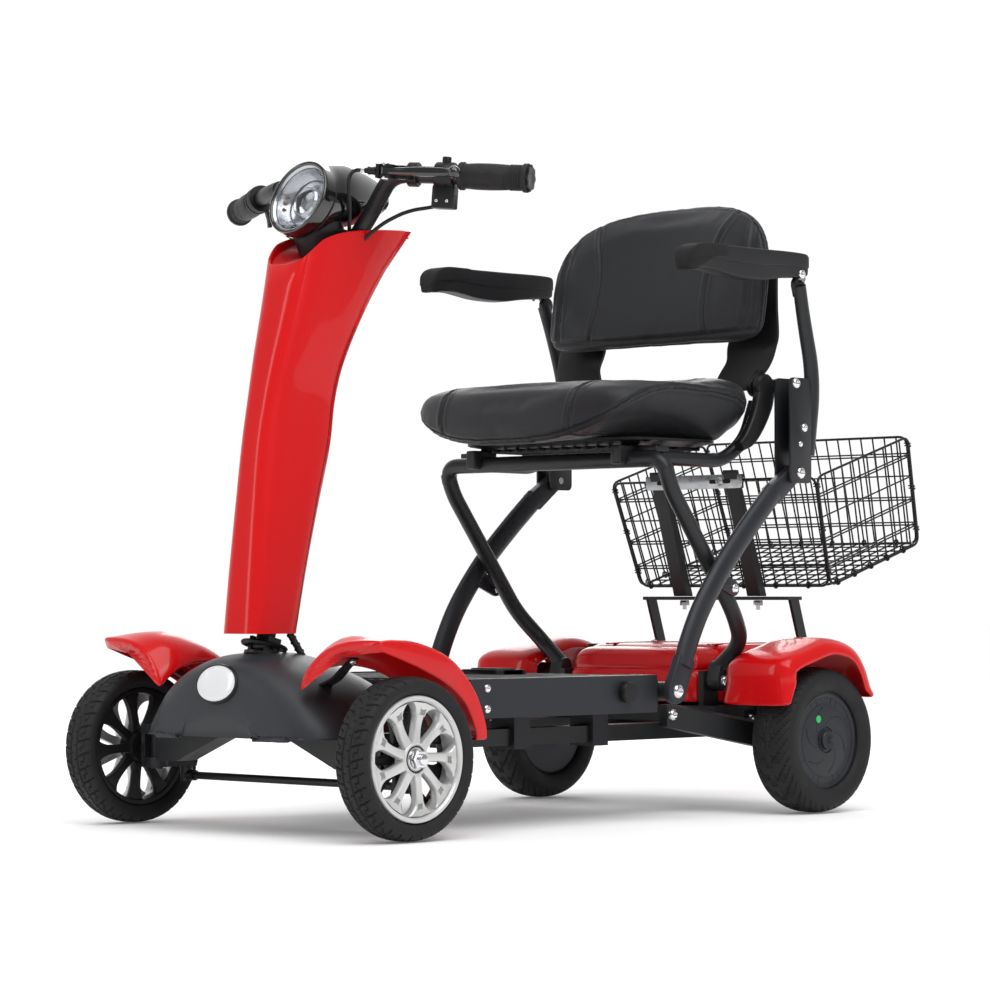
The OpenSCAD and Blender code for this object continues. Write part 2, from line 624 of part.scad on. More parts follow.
// Two curved uprights that hold the backrest
module back_support() color("black") placed() both() difference() {
    union() {
        along_x(184, 193, back_pivot[0], back_pivot[1], 14);
        hull() {
            block([120, 366, 606], [192, 370, 610]);
            block([128, 390, 690], [180, 394, 700]);
        }
        hull() {
            block([128, 390, 690], [180, 394, 700]);
            block([128, 414, 770], [180, 418, 780]);
        }
        block([184, 352, 592], [193, 370, 614]);
    }
    along_x(176, 200, back_pivot[0], back_pivot[1], pivot_r + fit);
}
back_lean = 17;
function back_row(z, half, thick) = let(m = 352 + (z - 650) * tan(back_lean)) [for (k = [0:27])
    let(c = cos(360 * k / 28), s = sin(360 * k / 28), x = half * sign(c) * pow(abs(c), 0.6))
    [x, m - max(0, 3 + 0.182 * (z - 666)) * pow(x / 200, 2) + thick * sign(s) * pow(abs(s), 0.7), z]];
module backrest_cushion() color("black") placed() difference() {
    loft([for (r = [[650, 0.93, 12], [660, 0.99, 20], [700, 1, 23], [760, 1, 22], [800, 0.97, 20], [835, 0.88, 17],
        [853, 0.74, 13], [860, 0.55, 8]]) back_row(r[0], r[1] * back_w / 2, r[2])]);
    both() translate([0, 0, 0.3]) {
        hull() {
            block([127, 365, 605], [181, 373, 606]);
            block([127, 389, 690], [181, 397, 700]);
        }
        hull() {
            block([127, 389, 690], [181, 397, 700]);
            block([127, 413, 770], [181, 421, 781]);
        }
    }
}

rear_frame();
rear_cover();
rear_fender_left();
rear_fender_right();
rack_bracket();
basket_posts();
basket();
battery_pack();
rear_bolts();
rear_tyre_left();
rear_hub_left();
rear_tyre_right();
rear_hub_right();
footboard_frame();
footboard_deck();
front_frame();
front_cover();
badge();
front_fender_left();
front_fender_right();
fender_brackets();
front_springs();
steering_head();
steering_post();
column_shroud();
handlebar_left();
handlebar_right();
grip_left();
grip_right();
headlight_housing();
headlight_reflector();
headlight_lens();
brake_perch();
switch_pod();
brake_cable();
switch_lead();
column_lead();
brake_lever();
throttle_lever();
horn_button();
knuckle_left();
knuckle_right();
tie_rod();
front_tyre_left();
front_rim_left();
front_tyre_right();
front_rim_right();
leg_b();
leg_a_left();
leg_a_right();
leg_a_shaft();
seat_post_left();
seat_post_right();
seat_rails();
seat_pan();
seat_cushion();
back_support();
backrest_cushion();
armrest_left();
armrest_right();
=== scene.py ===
import math

import bmesh
import bpy
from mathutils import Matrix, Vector
from mathutils.bvhtree import BVHTree
from mathutils.kdtree import KDTree


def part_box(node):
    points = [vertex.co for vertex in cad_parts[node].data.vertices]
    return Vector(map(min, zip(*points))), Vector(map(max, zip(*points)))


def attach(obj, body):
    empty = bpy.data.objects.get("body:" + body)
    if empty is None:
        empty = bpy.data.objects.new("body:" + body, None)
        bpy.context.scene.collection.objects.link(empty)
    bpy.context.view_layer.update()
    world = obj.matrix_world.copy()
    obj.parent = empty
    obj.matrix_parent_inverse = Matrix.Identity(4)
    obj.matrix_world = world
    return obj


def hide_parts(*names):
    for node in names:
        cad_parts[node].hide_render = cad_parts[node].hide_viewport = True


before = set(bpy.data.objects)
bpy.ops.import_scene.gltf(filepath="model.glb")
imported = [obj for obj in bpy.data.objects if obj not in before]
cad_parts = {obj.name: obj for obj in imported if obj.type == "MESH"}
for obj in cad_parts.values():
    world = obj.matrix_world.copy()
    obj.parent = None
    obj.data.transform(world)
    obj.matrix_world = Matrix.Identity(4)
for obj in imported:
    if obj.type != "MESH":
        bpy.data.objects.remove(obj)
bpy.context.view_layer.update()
scene = bpy.context.scene
X, Y, Z = Vector((1, 0, 0)), Vector((0, 1, 0)), Vector((0, 0, 1))

# ---- places, all taken from the CAD frame ----


def centre(node):
    lo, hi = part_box(node)
    return (Vector(lo) + Vector(hi)) / 2


# The CAD lays its places out in millimetres about the middle of the wheelbase
MID_Y = (centre("front_tyre_left").y + centre("rear_tyre_left").y) / 2


def P(x, y, z):
    return Vector((x / 1000, y / 1000 + MID_Y, z / 1000))


# ---- camera, lights and floor ----
cam = bpy.data.objects.new("camera", bpy.data.cameras.new("camera"))
scene.collection.objects.link(cam)
cam.location = P(3196.66, -3257.6, 296.31)  # fitted to the wheels in the photo
AZIMUTH, ELEVATION = math.radians(44.2), math.radians(-1.73)
cam_back = Vector((math.sin(AZIMUTH) * math.cos(ELEVATION), -math.cos(AZIMUTH) * math.cos(ELEVATION),
                   math.sin(ELEVATION)))
cam.rotation_mode = "QUATERNION"
cam.rotation_quaternion = (-cam_back).to_track_quat("-Z", "Y")
cam.data.lens, cam.data.sensor_width = 122.82, 36
cam.data.clip_end = 60
scene.camera = cam


def area_light(name, at, target, size, power):
    light = bpy.data.lights.new(name, "AREA")
    light.shape, light.size, light.size_y, light.energy = "RECTANGLE", size[0], size[1], power
    obj = bpy.data.objects.new(name, light)
    obj.location = at
    obj.rotation_euler = (Vector(target) - Vector(at)).to_track_quat("-Z", "Y").to_euler()
    scene.collection.objects.link(obj)


area_light("key", (2.6, -0.6, 2.3), (0, 0, 0.4), (1.6, 2.2), 26)
area_light("front", (-1.6, -3.2, 1.7), (0, -0.2, 0.4), (0.7, 2.4), 16)
area_light("rear", (-2.4, 2.4, 1.8), (0, 0, 0.4), (1.4, 2.0), 25)
sun = bpy.data.lights.new("overhead", "SUN")
sun.energy, sun.angle = 1.9, math.radians(60)
sun_obj = bpy.data.objects.new("overhead", sun)
sun_obj.rotation_euler = (Vector((0, 0, 0)) - Vector((0.35, -0.3, 1))).to_track_quat("-Z", "Y").to_euler()
scene.collection.objects.link(sun_obj)

world = bpy.data.worlds.new("studio")
scene.world = world
world.use_nodes = True
# White behind the object and dimmer on the other side, as in a studio
sky = world.node_tree
way = sky.nodes.new("ShaderNodeTexCoord")
facing = sky.nodes.new("ShaderNodeVectorMath")
facing.operation = "DOT_PRODUCT"
facing.inputs[1].default_value = (-0.7, 0.72, 0)
sky.links.new(way.outputs["Generated"], facing.inputs[0])
ramp = sky.nodes.new("ShaderNodeMapRange")
ramp.interpolation_type = "SMOOTHSTEP"
for socket, value in (("From Min", 0.1), ("From Max", 0.85), ("To Min", 0.3), ("To Max", 1.02)):
    ramp.inputs[socket].default_value = value
sky.links.new(facing.outputs["Value"], ramp.inputs["Value"])
sky.links.new(ramp.outputs["Result"], sky.nodes["Background"].inputs["Strength"])
sky.nodes["Background"].inputs["Color"].default_value = (1, 1, 1, 1)
scene.view_settings.view_transform = "Standard"
scene.view_settings.look = "None"

# ---- materials ----


SOFT = 0.32  # specular level of the dark, dull finishes


def material(name, color, rough=0.45, metal=0.0, coat=0.0, mottle=(9, 0.12), grain=(900, 0.05),
             rough_spread=0.08, cells=None, sheen=0.0, specular=0.5, alpha=None, coat_rough=0.03):
    """Principled surface whose colour and roughness drift a little, with a fine bump."""
    mat = bpy.data.materials.new(name)
    mat.use_nodes = True
    nodes, links = mat.node_tree.nodes, mat.node_tree.links
    shader = nodes["Principled BSDF"]
    place = nodes.new("ShaderNodeTexCoord")
    drift = nodes.new("ShaderNodeTexNoise")
    drift.inputs["Scale"].default_value = mottle[0]
    drift.inputs["Detail"].default_value = 5
    links.new(place.outputs["Object"], drift.inputs["Vector"])
    tint = nodes.new("ShaderNodeMix")
    tint.data_type = "RGBA"
    tint.inputs[6].default_value = [c * (1 - mottle[1]) for c in color] + [1]
    tint.inputs[7].default_value = [min(1, c * (1 + mottle[1])) for c in color] + [1]
    links.new(drift.outputs["Fac"], tint.inputs[0])
    links.new(tint.outputs[2], shader.inputs["Base Color"])
    spread = nodes.new("ShaderNodeMapRange")
    spread.inputs["From Min"].default_value, spread.inputs["From Max"].default_value = 0.3, 0.7
    spread.inputs["To Min"].default_value = max(0.02, rough - rough_spread)
    spread.inputs["To Max"].default_value = min(1, rough + rough_spread)
    fine = nodes.new("ShaderNodeTexNoise")
    fine.inputs["Scale"].default_value = grain[0]
    fine.inputs["Detail"].default_value = 3
    links.new(place.outputs["Object"], fine.inputs["Vector"])
    links.new(drift.outputs["Fac"], spread.inputs["Value"])
    links.new(spread.outputs["Result"], shader.inputs["Roughness"])
    height = fine.outputs["Fac"]
    if cells:
        voronoi = nodes.new("ShaderNodeTexVoronoi")
        voronoi.feature = "DISTANCE_TO_EDGE"
        voronoi.inputs["Scale"].default_value = cells
        links.new(place.outputs["Object"], voronoi.inputs["Vector"])
        edge = nodes.new("ShaderNodeMapRange")
        edge.inputs["From Max"].default_value = 0.12
        links.new(voronoi.outputs["Distance"], edge.inputs["Value"])
        both = nodes.new("ShaderNodeMath")
        both.operation = "MULTIPLY_ADD"
        both.inputs[1].default_value = 0.5
        links.new(fine.outputs["Fac"], both.inputs[0])
        links.new(edge.outputs["Result"], both.inputs[2])
        height = both.outputs[0]
    bump = nodes.new("ShaderNodeBump")
    bump.inputs["Strength"].default_value = grain[1]
    bump.inputs["Distance"].default_value = 0.001
    links.new(height, bump.inputs["Height"])
    links.new(bump.outputs["Normal"], shader.inputs["Normal"])
    shader.inputs["Metallic"].default_value = metal
    shader.inputs["Coat Weight"].default_value = coat
    shader.inputs["Coat Roughness"].default_value = coat_rough
    shader.inputs["Sheen Weight"].default_value = sheen
    shader.inputs["Specular IOR Level"].default_value = specular
    if alpha is not None:
        shader.inputs["Transmission Weight"].default_value = alpha
        shader.inputs["IOR"].default_value = 1.46
    return mat


RED = material("red_gloss", (0.62, 0.003, 0.005), 0.3, coat=0.38, specular=0.2, mottle=(3, 0.06),
               grain=(60, 0.015), rough_spread=0.05)
COWL = material("cowl_satin", (0.027, 0.029, 0.034), 0.42, mottle=(14, 0.15), grain=(1300, 0.22),
                rough_spread=0.06, specular=SOFT)
FRAME = material("frame_black", (0.013, 0.014, 0.016), 0.4, mottle=(20, 0.2), grain=(1500, 0.12),
                 rough_spread=0.06, coat=0.15, coat_rough=0.3, specular=SOFT)
RAIL = material("rail_grey", (0.021, 0.0225, 0.028), 0.4, mottle=(16, 0.15), grain=(1700, 0.15), rough_spread=0.06,
                specular=SOFT)
PLASTIC = material("black_plastic", (0.008, 0.008, 0.009), 0.38, mottle=(24, 0.2), grain=(1500, 0.15),
                   rough_spread=0.08, specular=SOFT)
GLOSS = material("black_gloss", (0.006, 0.006, 0.007), 0.12, coat=1.0, mottle=(8, 0.2), grain=(80, 0.01),
                 rough_spread=0.04)
RUBBER = material("tyre_rubber", (0.012, 0.012, 0.0135), 0.66, mottle=(40, 0.25), grain=(700, 0.35),
                  rough_spread=0.1, specular=SOFT)
GRIP = material("grip_rubber", (0.012, 0.012, 0.013), 0.5, mottle=(40, 0.2), grain=(1200, 0.3), cells=700,
                specular=SOFT)
DECK = material("deck_rubber", (0.03, 0.031, 0.034), 0.6, mottle=(22, 0.25), grain=(900, 0.4), rough_spread=0.1,
                specular=SOFT)
LEATHER = material("seat_leather", (0.0115, 0.0125, 0.0155), 0.42, mottle=(7, 0.2), grain=(500, 0.22), cells=620,
                   sheen=0.08, rough_spread=0.07, specular=SOFT)
ARM = material("armrest_plastic", (0.0135, 0.014, 0.016), 0.5, mottle=(18, 0.15), grain=(1300, 0.3),
               rough_spread=0.06, specular=SOFT)
ARM_CAP = material("armrest_cap", (0.016, 0.016, 0.016), 0.75, mottle=(30, 0.2), grain=(900, 0.8), cells=900,
                   specular=SOFT)
SILVER = material("silver_paint", (0.66, 0.66, 0.655), 0.34, metal=0.45, mottle=(30, 0.06), grain=(1500, 0.1),
                  rough_spread=0.08, coat=0.4)
PAD = material("cast_pad", (0.3, 0.3, 0.3), 0.6, metal=0.4, mottle=(300, 0.5), grain=(1600, 0.8))
HUB = material("hub_metal", (0.03, 0.032, 0.037), 0.38, metal=0.3, mottle=(20, 0.15), grain=(1500, 0.12),
               specular=SOFT)
CHROME = material("chrome", (0.78, 0.78, 0.8), 0.14, metal=1.0, mottle=(80, 0.08), grain=(1500, 0.04),
                  rough_spread=0.06)
GALVANISED = material("galvanised", (0.62, 0.65, 0.67), 0.34, metal=0.8, mottle=(60, 0.22), grain=(500, 0.15),
                      rough_spread=0.14)
WIRE = material("wire_black", (0.012, 0.012, 0.013), 0.32, mottle=(60, 0.2), grain=(1500, 0.1), specular=SOFT)
# Near-black colour laid in grooves, slots, gaps and hole floors: painted shade of the recesses
PAINTED_SHADE = material("painted_recess_shade", (0.004, 0.004, 0.004), 0.7, mottle=(40, 0.2), grain=(900, 0.2))
LENS = material("lens_clear", (0.97, 0.98, 1.0), 0.03, mottle=(6, 0.01), grain=(40, 0.004), rough_spread=0.01,
                alpha=1.0)
MIRROR = material("reflector", (0.5, 0.51, 0.54), 0.2, metal=1.0, mottle=(90, 0.12), grain=(160, 0.12),
                  rough_spread=0.08)
AMBER = material("amber", (0.3, 0.12, 0.07), 0.35, mottle=(200, 0.4), grain=(500, 0.2))
BADGE = material("badge_face", (0.8, 0.81, 0.83), 0.22, coat=0.6, mottle=(30, 0.04), grain=(300, 0.03))
GREEN = material("green_dot", (0.02, 0.5, 0.12), 0.5, mottle=(200, 0.2), grain=(900, 0.1))
SPRING = material("spring_red", (0.5, 0.012, 0.014), 0.3, coat=0.5, mottle=(40, 0.15), grain=(900, 0.08))
STITCH = material("thread", (0.03, 0.03, 0.032), 0.7, mottle=(300, 0.3), grain=(1500, 0.5))
FLOOR = material("floor", (0.93, 0.93, 0.93), 0.9, mottle=(2, 0.01), grain=(60, 0.01), rough_spread=0.02)
FLOOR.node_tree.nodes["Principled BSDF"].inputs["Emission Color"].default_value = (1, 1, 1, 1)
FLOOR.node_tree.nodes["Principled BSDF"].inputs["Emission Strength"].default_value = 0.09

# ---- shape helpers ----


def axes(direction, ref=None):
    d = Vector(direction).normalized()
    ref = Vector(ref) if ref else Vector((0, 0, 1)) if abs(d.z) < 0.9 else Vector((1, 0, 0))
    s = ref.cross(d).normalized()
    return s, d.cross(s), d


def smooth_path(points, steps=6):
    """Catmull-Rom curve through the points."""
    p = [Vector(q) for q in points]
    p = [2 * p[0] - p[1]] + p + [2 * p[-1] - p[-2]]
    out = []
    for i in range(1, len(p) - 2):
        for k in range(steps):
            t = k / steps
            out.append(0.5 * (2 * p[i] + (p[i + 1] - p[i - 1]) * t
                              + (2 * p[i - 1] - 5 * p[i] + 4 * p[i + 1] - p[i + 2]) * t * t
                              + (3 * p[i] - 3 * p[i + 1] + p[i + 2] - p[i - 1]) * t ** 3))
    return out + [p[-2]]


def rounded_path(points, reach, steps=8):
    """Straight runs whose corners are rounded over the distance reach on each side."""
    p = [Vector(q) for q in points]
    out = [p[0]]
    for a, b, c in zip(p, p[1:], p[2:]):
        u, v = (a - b).normalized() * reach, (c - b).normalized() * reach
        for k in range(steps + 1):
            t = k / steps
            out.append((1 - t) ** 2 * (b + u) + 2 * t * (1 - t) * b + t * t * (b + v))
    return out + [p[-1]]


def superellipse(a, b, power, n=48):
    out = []
    for k in range(n):
        c, s = math.cos(2 * math.pi * k / n), math.sin(2 * math.pi * k / n)
        out.append((a * math.copysign(abs(c) ** power, c), b * math.copysign(abs(s) ** power, s)))
    return out


def around(n):
    """Angles of n even steps round a circle."""
    return [2 * math.pi * k / n for k in range(n)]


def tangent(path, i):
    return (path[min(i + 1, len(path) - 1)] - path[max(i - 1, 0)]).normalized()


def between(path, t):
    """Where t from 0 to 1 falls on a path or a list of numbers: the index before it and the share of the step."""
    k = t * (len(path) - 1)
    j = min(int(k), len(path) - 2)
    return j, k - j


def leaning(degrees):
    """Upward direction leaning back by an angle."""
    return Vector((0, math.sin(math.radians(degrees)), math.cos(math.radians(degrees))))


def winding(path, turns, radius, count, ref):
    """Points of a coil wound round the path."""
    out = []
    for i in range(count):
        t = i / (count - 1)
        j, share = between(path, t)
        side, up, _ = axes(path[j + 1] - path[j], ref)
        a = 2 * math.pi * turns * t
        out.append(path[j].lerp(path[j + 1], share) + (side * math.cos(a) + up * math.sin(a)) * radius)
    return out


def both_sides(half):
    """The points of the right half, then those of its mirror image in reverse."""
    return half + [Vector((-q.x, q.y, q.z)) for q in half[-2:0:-1]]


class Shape:
    """Collects closed surfaces, each with a material index, into one mesh."""

    def __init__(self):
        self.v, self.f, self.m = [], [], []

    def add(self, verts, faces, m=0):
        start = len(self.v)
        self.v += [Vector(p) for p in verts]
        self.f += [tuple(start + i for i in f) for f in faces]
        self.m += [m] * len(faces)
        return self

    def loft(self, rings, m=0, caps=True, closed=False):
        n, rows = len(rings[0]), len(rings)
        faces = [(i * n + k, i * n + (k + 1) % n, (i + 1) % rows * n + (k + 1) % n, (i + 1) % rows * n + k)
                 for i in range(rows if closed else rows - 1) for k in range(n)]
        if caps and not closed:
            faces += [tuple(range(n))[::-1], tuple((rows - 1) * n + k for k in range(n))]
        return self.add([p for r in rings for p in r], faces, m)

    def tube(self, path, r, n=12, m=0, ref=None, closed=False):
        """r is one radius, a list of radii, or a pair (across, along ref) in metres."""
        path = [Vector(p) for p in path]
        last = len(path) - 1
        side = None
        rings = []
        for i, p in enumerate(path):
            a = path[(i - 1) % len(path)] if closed else path[max(i - 1, 0)]
            b = path[(i + 1) % len(path)] if closed else path[min(i + 1, last)]
            t = (b - a).normalized()
            if ref is not None:
                side = Vector(ref).cross(t).normalized()
            elif side is None:
                side = axes(t)[0]
            else:
                side = (side - t * side.dot(t)).normalized()
            up = t.cross(side)
            here = r[i] if isinstance(r, list) else r
            ra, rb = here if isinstance(here, tuple) else (here, here)
            rings.append([p + side * ra * math.cos(2 * math.pi * k / n) + up * rb * math.sin(2 * math.pi * k / n)
                          for k in range(n)])
        return self.loft(rings, m, closed=closed)

    def revolve(self, profile, at, direction, n=48, m=0, closed=False, ref=None):
        """profile is (radius, height) in millimetres about the line from at along direction."""
        s, u, d = axes(direction, ref)
        rings = [[at + d * h / 1000 + (s * math.cos(2 * math.pi * k / n) + u * math.sin(2 * math.pi * k / n))
                  * max(r, 0.001) / 1000 for k in range(n)] for r, h in profile]
        return self.loft(rings, m, closed=closed)

    def box(self, lo, hi, r=1.5, m=0, turn=None, about=None):
        """Block with rounded edges, from lo to hi in CAD millimetres."""
        lo, hi = P(*lo), P(*hi)
        bm = bmesh.new()
        bmesh.ops.create_cube(bm, size=1)
        for vert in bm.verts:
            vert.co = (lo + hi) / 2 + Vector(vert.co[i] * abs(hi[i] - lo[i]) for i in range(3))
        bmesh.ops.bevel(bm, geom=bm.edges[:], offset=r / 1000, segments=3, profile=0.5, affect="EDGES")
        return self.take(bm, m, turn, about)

    def prism(self, outline, lo, hi, plane="x", r=1.0, m=0):
        """Outline of (u, v) CAD millimetres pushed from lo to hi along x, y or z, with rounded rims."""
        place = {"x": lambda u, v, w: P(w, u, v), "y": lambda u, v, w: P(u, w, v), "z": lambda u, v, w: P(u, v, w)}
        bm = bmesh.new()
        n = len(outline)
        low = [bm.verts.new(place[plane](u, v, lo)) for u, v in outline]
        top = [bm.verts.new(place[plane](u, v, hi)) for u, v in outline]
        caps = [bm.faces.new(low[::-1]), bm.faces.new(top)]
        for k in range(n):
            bm.faces.new((low[k], low[(k + 1) % n], top[(k + 1) % n], top[k]))
        if r:
            rim = {e for f in caps for e in f.edges}
            bmesh.ops.bevel(bm, geom=list(rim), offset=r / 1000, segments=2, profile=0.5, affect="EDGES")
        return self.take(bm, m)

    def take(self, bm, m=0, turn=None, about=None):
        if turn is not None:
            bmesh.ops.rotate(bm, cent=about, matrix=turn, verts=bm.verts[:])
        bm.verts.index_update()
        self.add([v.co.copy() for v in bm.verts], [tuple(v.index for v in f.verts) for f in bm.faces], m)
        bm.free()
        return self

    def bolt(self, at, direction, r=6, m=0, height=4.5, n=24):
        """Round-headed screw with a round socket in its head."""
        self.revolve([(0, -2), (r, -2), (r, height * 0.35), (r * 0.86, height * 0.75), (r * 0.6, height),
                      (r * 0.5, height), (r * 0.5, height * 0.3), (0, height * 0.3)], at, direction, n, m)
        return self

    def nut(self, at, direction, r=8, h=6, m=0):
        self.revolve([(0, 0), (r, 0), (r, h * 0.8), (r * 0.88, h), (0, h)], at, direction, 6, m)
        return self

    def mirrored(self):
        twin = Shape()
        twin.v = [Vector((-p.x, p.y, p.z)) for p in self.v]
        twin.f = [f[::-1] for f in self.f]
        twin.m = list(self.m)
        return twin

    def plus_mirror(self):
        twin = self.mirrored()
        for f, m in zip(twin.f, twin.m):
            self.f.append(tuple(i + len(twin.v) for i in f))
            self.m.append(m)
        self.v += twin.v
        return self

    def build(self, name, materials, body, slot, nodes=(), sharp=35, bevel=0.0, subsurf=0):
        mesh = bpy.data.meshes.new(name)
        mesh.from_pydata([tuple(p) for p in self.v], [], self.f)
        for mat in materials if isinstance(materials, (list, tuple)) else [materials]:
            mesh.materials.append(mat)
        mesh.polygons.foreach_set("material_index", self.m)
        bm = bmesh.new()
        bm.from_mesh(mesh)
        bmesh.ops.remove_doubles(bm, verts=bm.verts[:], dist=2e-6)
        bmesh.ops.dissolve_degenerate(bm, edges=bm.edges[:], dist=1e-6)
        bmesh.ops.recalc_face_normals(bm, faces=bm.faces[:])
        bm.to_mesh(mesh)
        bm.free()
        mesh.shade_smooth()
        mesh.set_sharp_from_angle(angle=math.radians(sharp))
        obj = bpy.data.objects.new(name, mesh)
        scene.collection.objects.link(obj)
        if bevel:
            mod = obj.modifiers.new("bevel", "BEVEL")
            mod.width, mod.segments, mod.limit_method = bevel / 1000, 2, "ANGLE"
            mod.angle_limit = math.radians(35)
            mod.harden_normals = True
        if subsurf:
            mod = obj.modifiers.new("subsurf", "SUBSURF")
            mod.levels = mod.render_levels = subsurf
        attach(obj, body)
        if nodes:
            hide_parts(*nodes)
        return obj

    def build_pair(self, name, materials, bodies, slot, nodes=((), ()), **options):
        """Left piece, and its mirror image on the right."""
        left = self.build(name + "_left", materials, bodies[0], slot, nodes[0], **options)
        right = self.mirrored().build(name + "_right", materials, bodies[1], slot, nodes[1], **options)
        return left, right


def node_look(node, mat, bevel=0.0):
    """A CAD node that stays: its own material, and softened edges."""
    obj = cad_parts[node]
    obj.data.materials.clear()
    obj.data.materials.append(mat)
    if bevel:
        mod = obj.modifiers.new("bevel", "BEVEL")
        mod.width, mod.segments, mod.limit_method = bevel / 1000, 2, "ANGLE"
        mod.angle_limit = math.radians(40)
        mod.use_clamp_overlap = True
    return obj


# ---- floor ----
rim = [(x, y, -0.0006) for x, y in superellipse(30, 30, 0.6, 32)]
floor_mesh = bpy.data.meshes.new("floor")
floor_mesh.from_pydata(rim, [], [tuple(range(32))])
floor_mesh.materials.append(FLOOR)
floor_obj = bpy.data.objects.new("floor", floor_mesh)
scene.collection.objects.link(floor_obj)

# ---- tyres ----
FRONT_TYRE = [(-17, 77.7), (-20.5, 79.5), (-23.4, 84), (-24.4, 89), (-23.6, 93), (-21, 96.4), (-16, 98.6),
              (-8, 99.8), (0, 100), (8, 99.8), (16, 98.6), (21, 96.4), (23.6, 93), (24.4, 89), (23.4, 84),
              (20.5, 79.5), (17, 77.7)]
REAR_TYRE = [(-27, 66.2), (-31, 70), (-33.6, 78), (-33.8, 85), (-31, 91.5), (-25, 96), (-16, 98.8), (-6, 99.9),
             (6, 99.9), (16, 98.8), (25, 96), (31, 91.5), (33.8, 85), (33.6, 78), (31, 70), (27, 66.2)]


def front_groove(turn, x):
    """Depth from 0 to 1 of the blocky front tread at a fraction of a turn and an offset in mm."""
    ax = abs(x)
    if 5.4 < ax < 6.8:
        return 1.0
    pitch = (turn * 34 + (0.5 if x < 0 else 0) + 0.3 * (ax - 7) / 17) % 1
    if 6.8 <= ax < 23.6 and pitch < 0.12:
        return 1.0
    if 11.5 < ax < 17.5 and 0.5 < pitch < 0.6:
        return 0.8
    if 17 < ax < 18.4 and 0.12 <= pitch < 0.6:
        return 0.8
    if 11 < ax < 12.2 and 0.5 < pitch <= 0.82:
        return 0.8
    if 1.5 < ax <= 5.4 and (turn * 34 + (0.25 if x < 0 else 0.75)) % 1 < 0.1:
        return 0.7
    return 0.0


def rear_groove(turn, x):
    """Depth of the swept rear tread: arrows down the middle and long curved sipes to each shoulder."""
    ax = abs(x)
    wave = (turn * 22) % 1
    if abs(ax - (2.6 + 4.2 * wave)) < 0.75:
        return 1.0
    sweep = (turn * 22 + 1.3 * (ax / 32) ** 1.5) % 1
    if ax > 7 and sweep < 0.08:
        return 1.0 if ax < 31 else 0.6
    if ax > 15 and 0.48 < sweep < 0.55:
        return 0.7
    if 9 < ax < 21 and 0.25 < sweep < 0.3:
        return 0.5
    return 0.0


def tyre(name, node, body, profile, groove, steps=560, depth=2.3):
    at = centre(node)
    out = 1 if at.x > 0 else -1
    section = smooth_path([Vector((x, r, 0)) for x, r in profile], 4)
    shape = Shape()
    rings = []
    for i in range(steps):
        turn = i / steps
        c, s = math.cos(2 * math.pi * turn), math.sin(2 * math.pi * turn)
        ring = []
        for q in section:
            ridge = 0.35 * math.exp(-((q.y - 86) / 0.9) ** 2) if abs(q.x) > 20 else 0.0
            cut = groove(turn, q.x) * depth if q.y > 90.5 else 0.0
            r, x = q.y - cut, q.x + math.copysign(ridge, q.x)
            ring.append(at + Vector((out * x, r * c, r * s)) / 1000)
        rings.append(ring)
    shape.loft(rings, closed=True)
    return shape.build(name, RUBBER, body, "tyre_rubber", [node], sharp=28)


for side in ("left", "right"):
    tyre("front_tyre_tread_" + side, "front_tyre_" + side, "front_wheel_" + side, FRONT_TYRE, front_groove)
    tyre("rear_tyre_tread_" + side, "rear_tyre_" + side, "rear_wheel_" + side, REAR_TYRE, rear_groove)

# ---- front wheels: silver outer face, black inner face, nine split spokes each ----


def wheel_point(at, x, r, angle):
    return at + Vector((x, r * math.sin(angle), r * math.cos(angle))) / 1000


def spoke(shape, at, angle, face, back, m, swirl=7, flare=15.5):
    """Spoke from the hub to the rim that widens into the rim; face and back give x at a radius."""
    rings = []
    for r in (17, 24, 32, 40, 47, 53, 58, 62, 65, 67.5, 69.5):
        t = (r - 17) / 53
        half = 6.6 - 1.2 * math.sin(math.pi * min(1, t * 1.3)) + flare * max(0, (t - 0.62) / 0.38) ** 2.2
        mid = angle + math.radians(swirl) * t * t
        x0, x1 = back(t), face(t)
        ring = []
        for across, x in ((-1, x0), (-1.06, (x0 + x1) / 2), (-0.94, x1 - 1.2), (-0.8, x1), (0, x1 + 0.4),
                          (0.8, x1), (0.94, x1 - 1.2), (1.06, (x0 + x1) / 2), (1, x0), (0, x0)):
            ring.append(wheel_point(at, x, r, mid + across * half / r))
        rings.append(ring)
    shape.loft(rings, m)


at = centre("front_tyre_left")
rim = Shape()
# Outer and inner rim, outer and inner hub, then the rings round the axle from the outside in; the near-black rings
# between the chrome ones are painted shade of the gaps
for n, m, profile in (
        (120, 0, [(77.3, 20.6), (76.4, 22), (72.4, 22), (71, 20.5), (70.2, 17), (68.6, 8), (68, -4), (70.5, -4),
                  (72, 10), (77.2, 12)]),
        (120, 1, [(77.3, -16), (76, -17.4), (71, -17.4), (69.6, -15), (68.2, -4.4), (72, -4.2), (77.2, 11.6)]),
        (64, 0, [(13.2, 3), (21, 3), (21, 17.5), (19.8, 19.4), (17.6, 19.4), (16.8, 18.2), (13.2, 18.2)]),
        (64, 1, [(7, -20.5), (19, -20.5), (20.5, -17), (20.5, 2.8), (7, 2.8)]),
        (64, 3, [(16.4, 17), (16.4, 18.7), (14.6, 18.7), (14.6, 17)]),
        (64, 2, [(12.9, 14), (12.9, 18.9), (11.9, 19.4), (10.9, 18.9), (10.7, 14)]),
        (64, 3, [(10.6, 13), (10.6, 17.6), (8.6, 17.6), (8.6, 13)]),
        (48, 2, [(8.5, 12), (8.5, 18.6), (6.6, 18.6), (6.6, 12)])):
    rim.revolve(profile, at, X, n, m, closed=True)
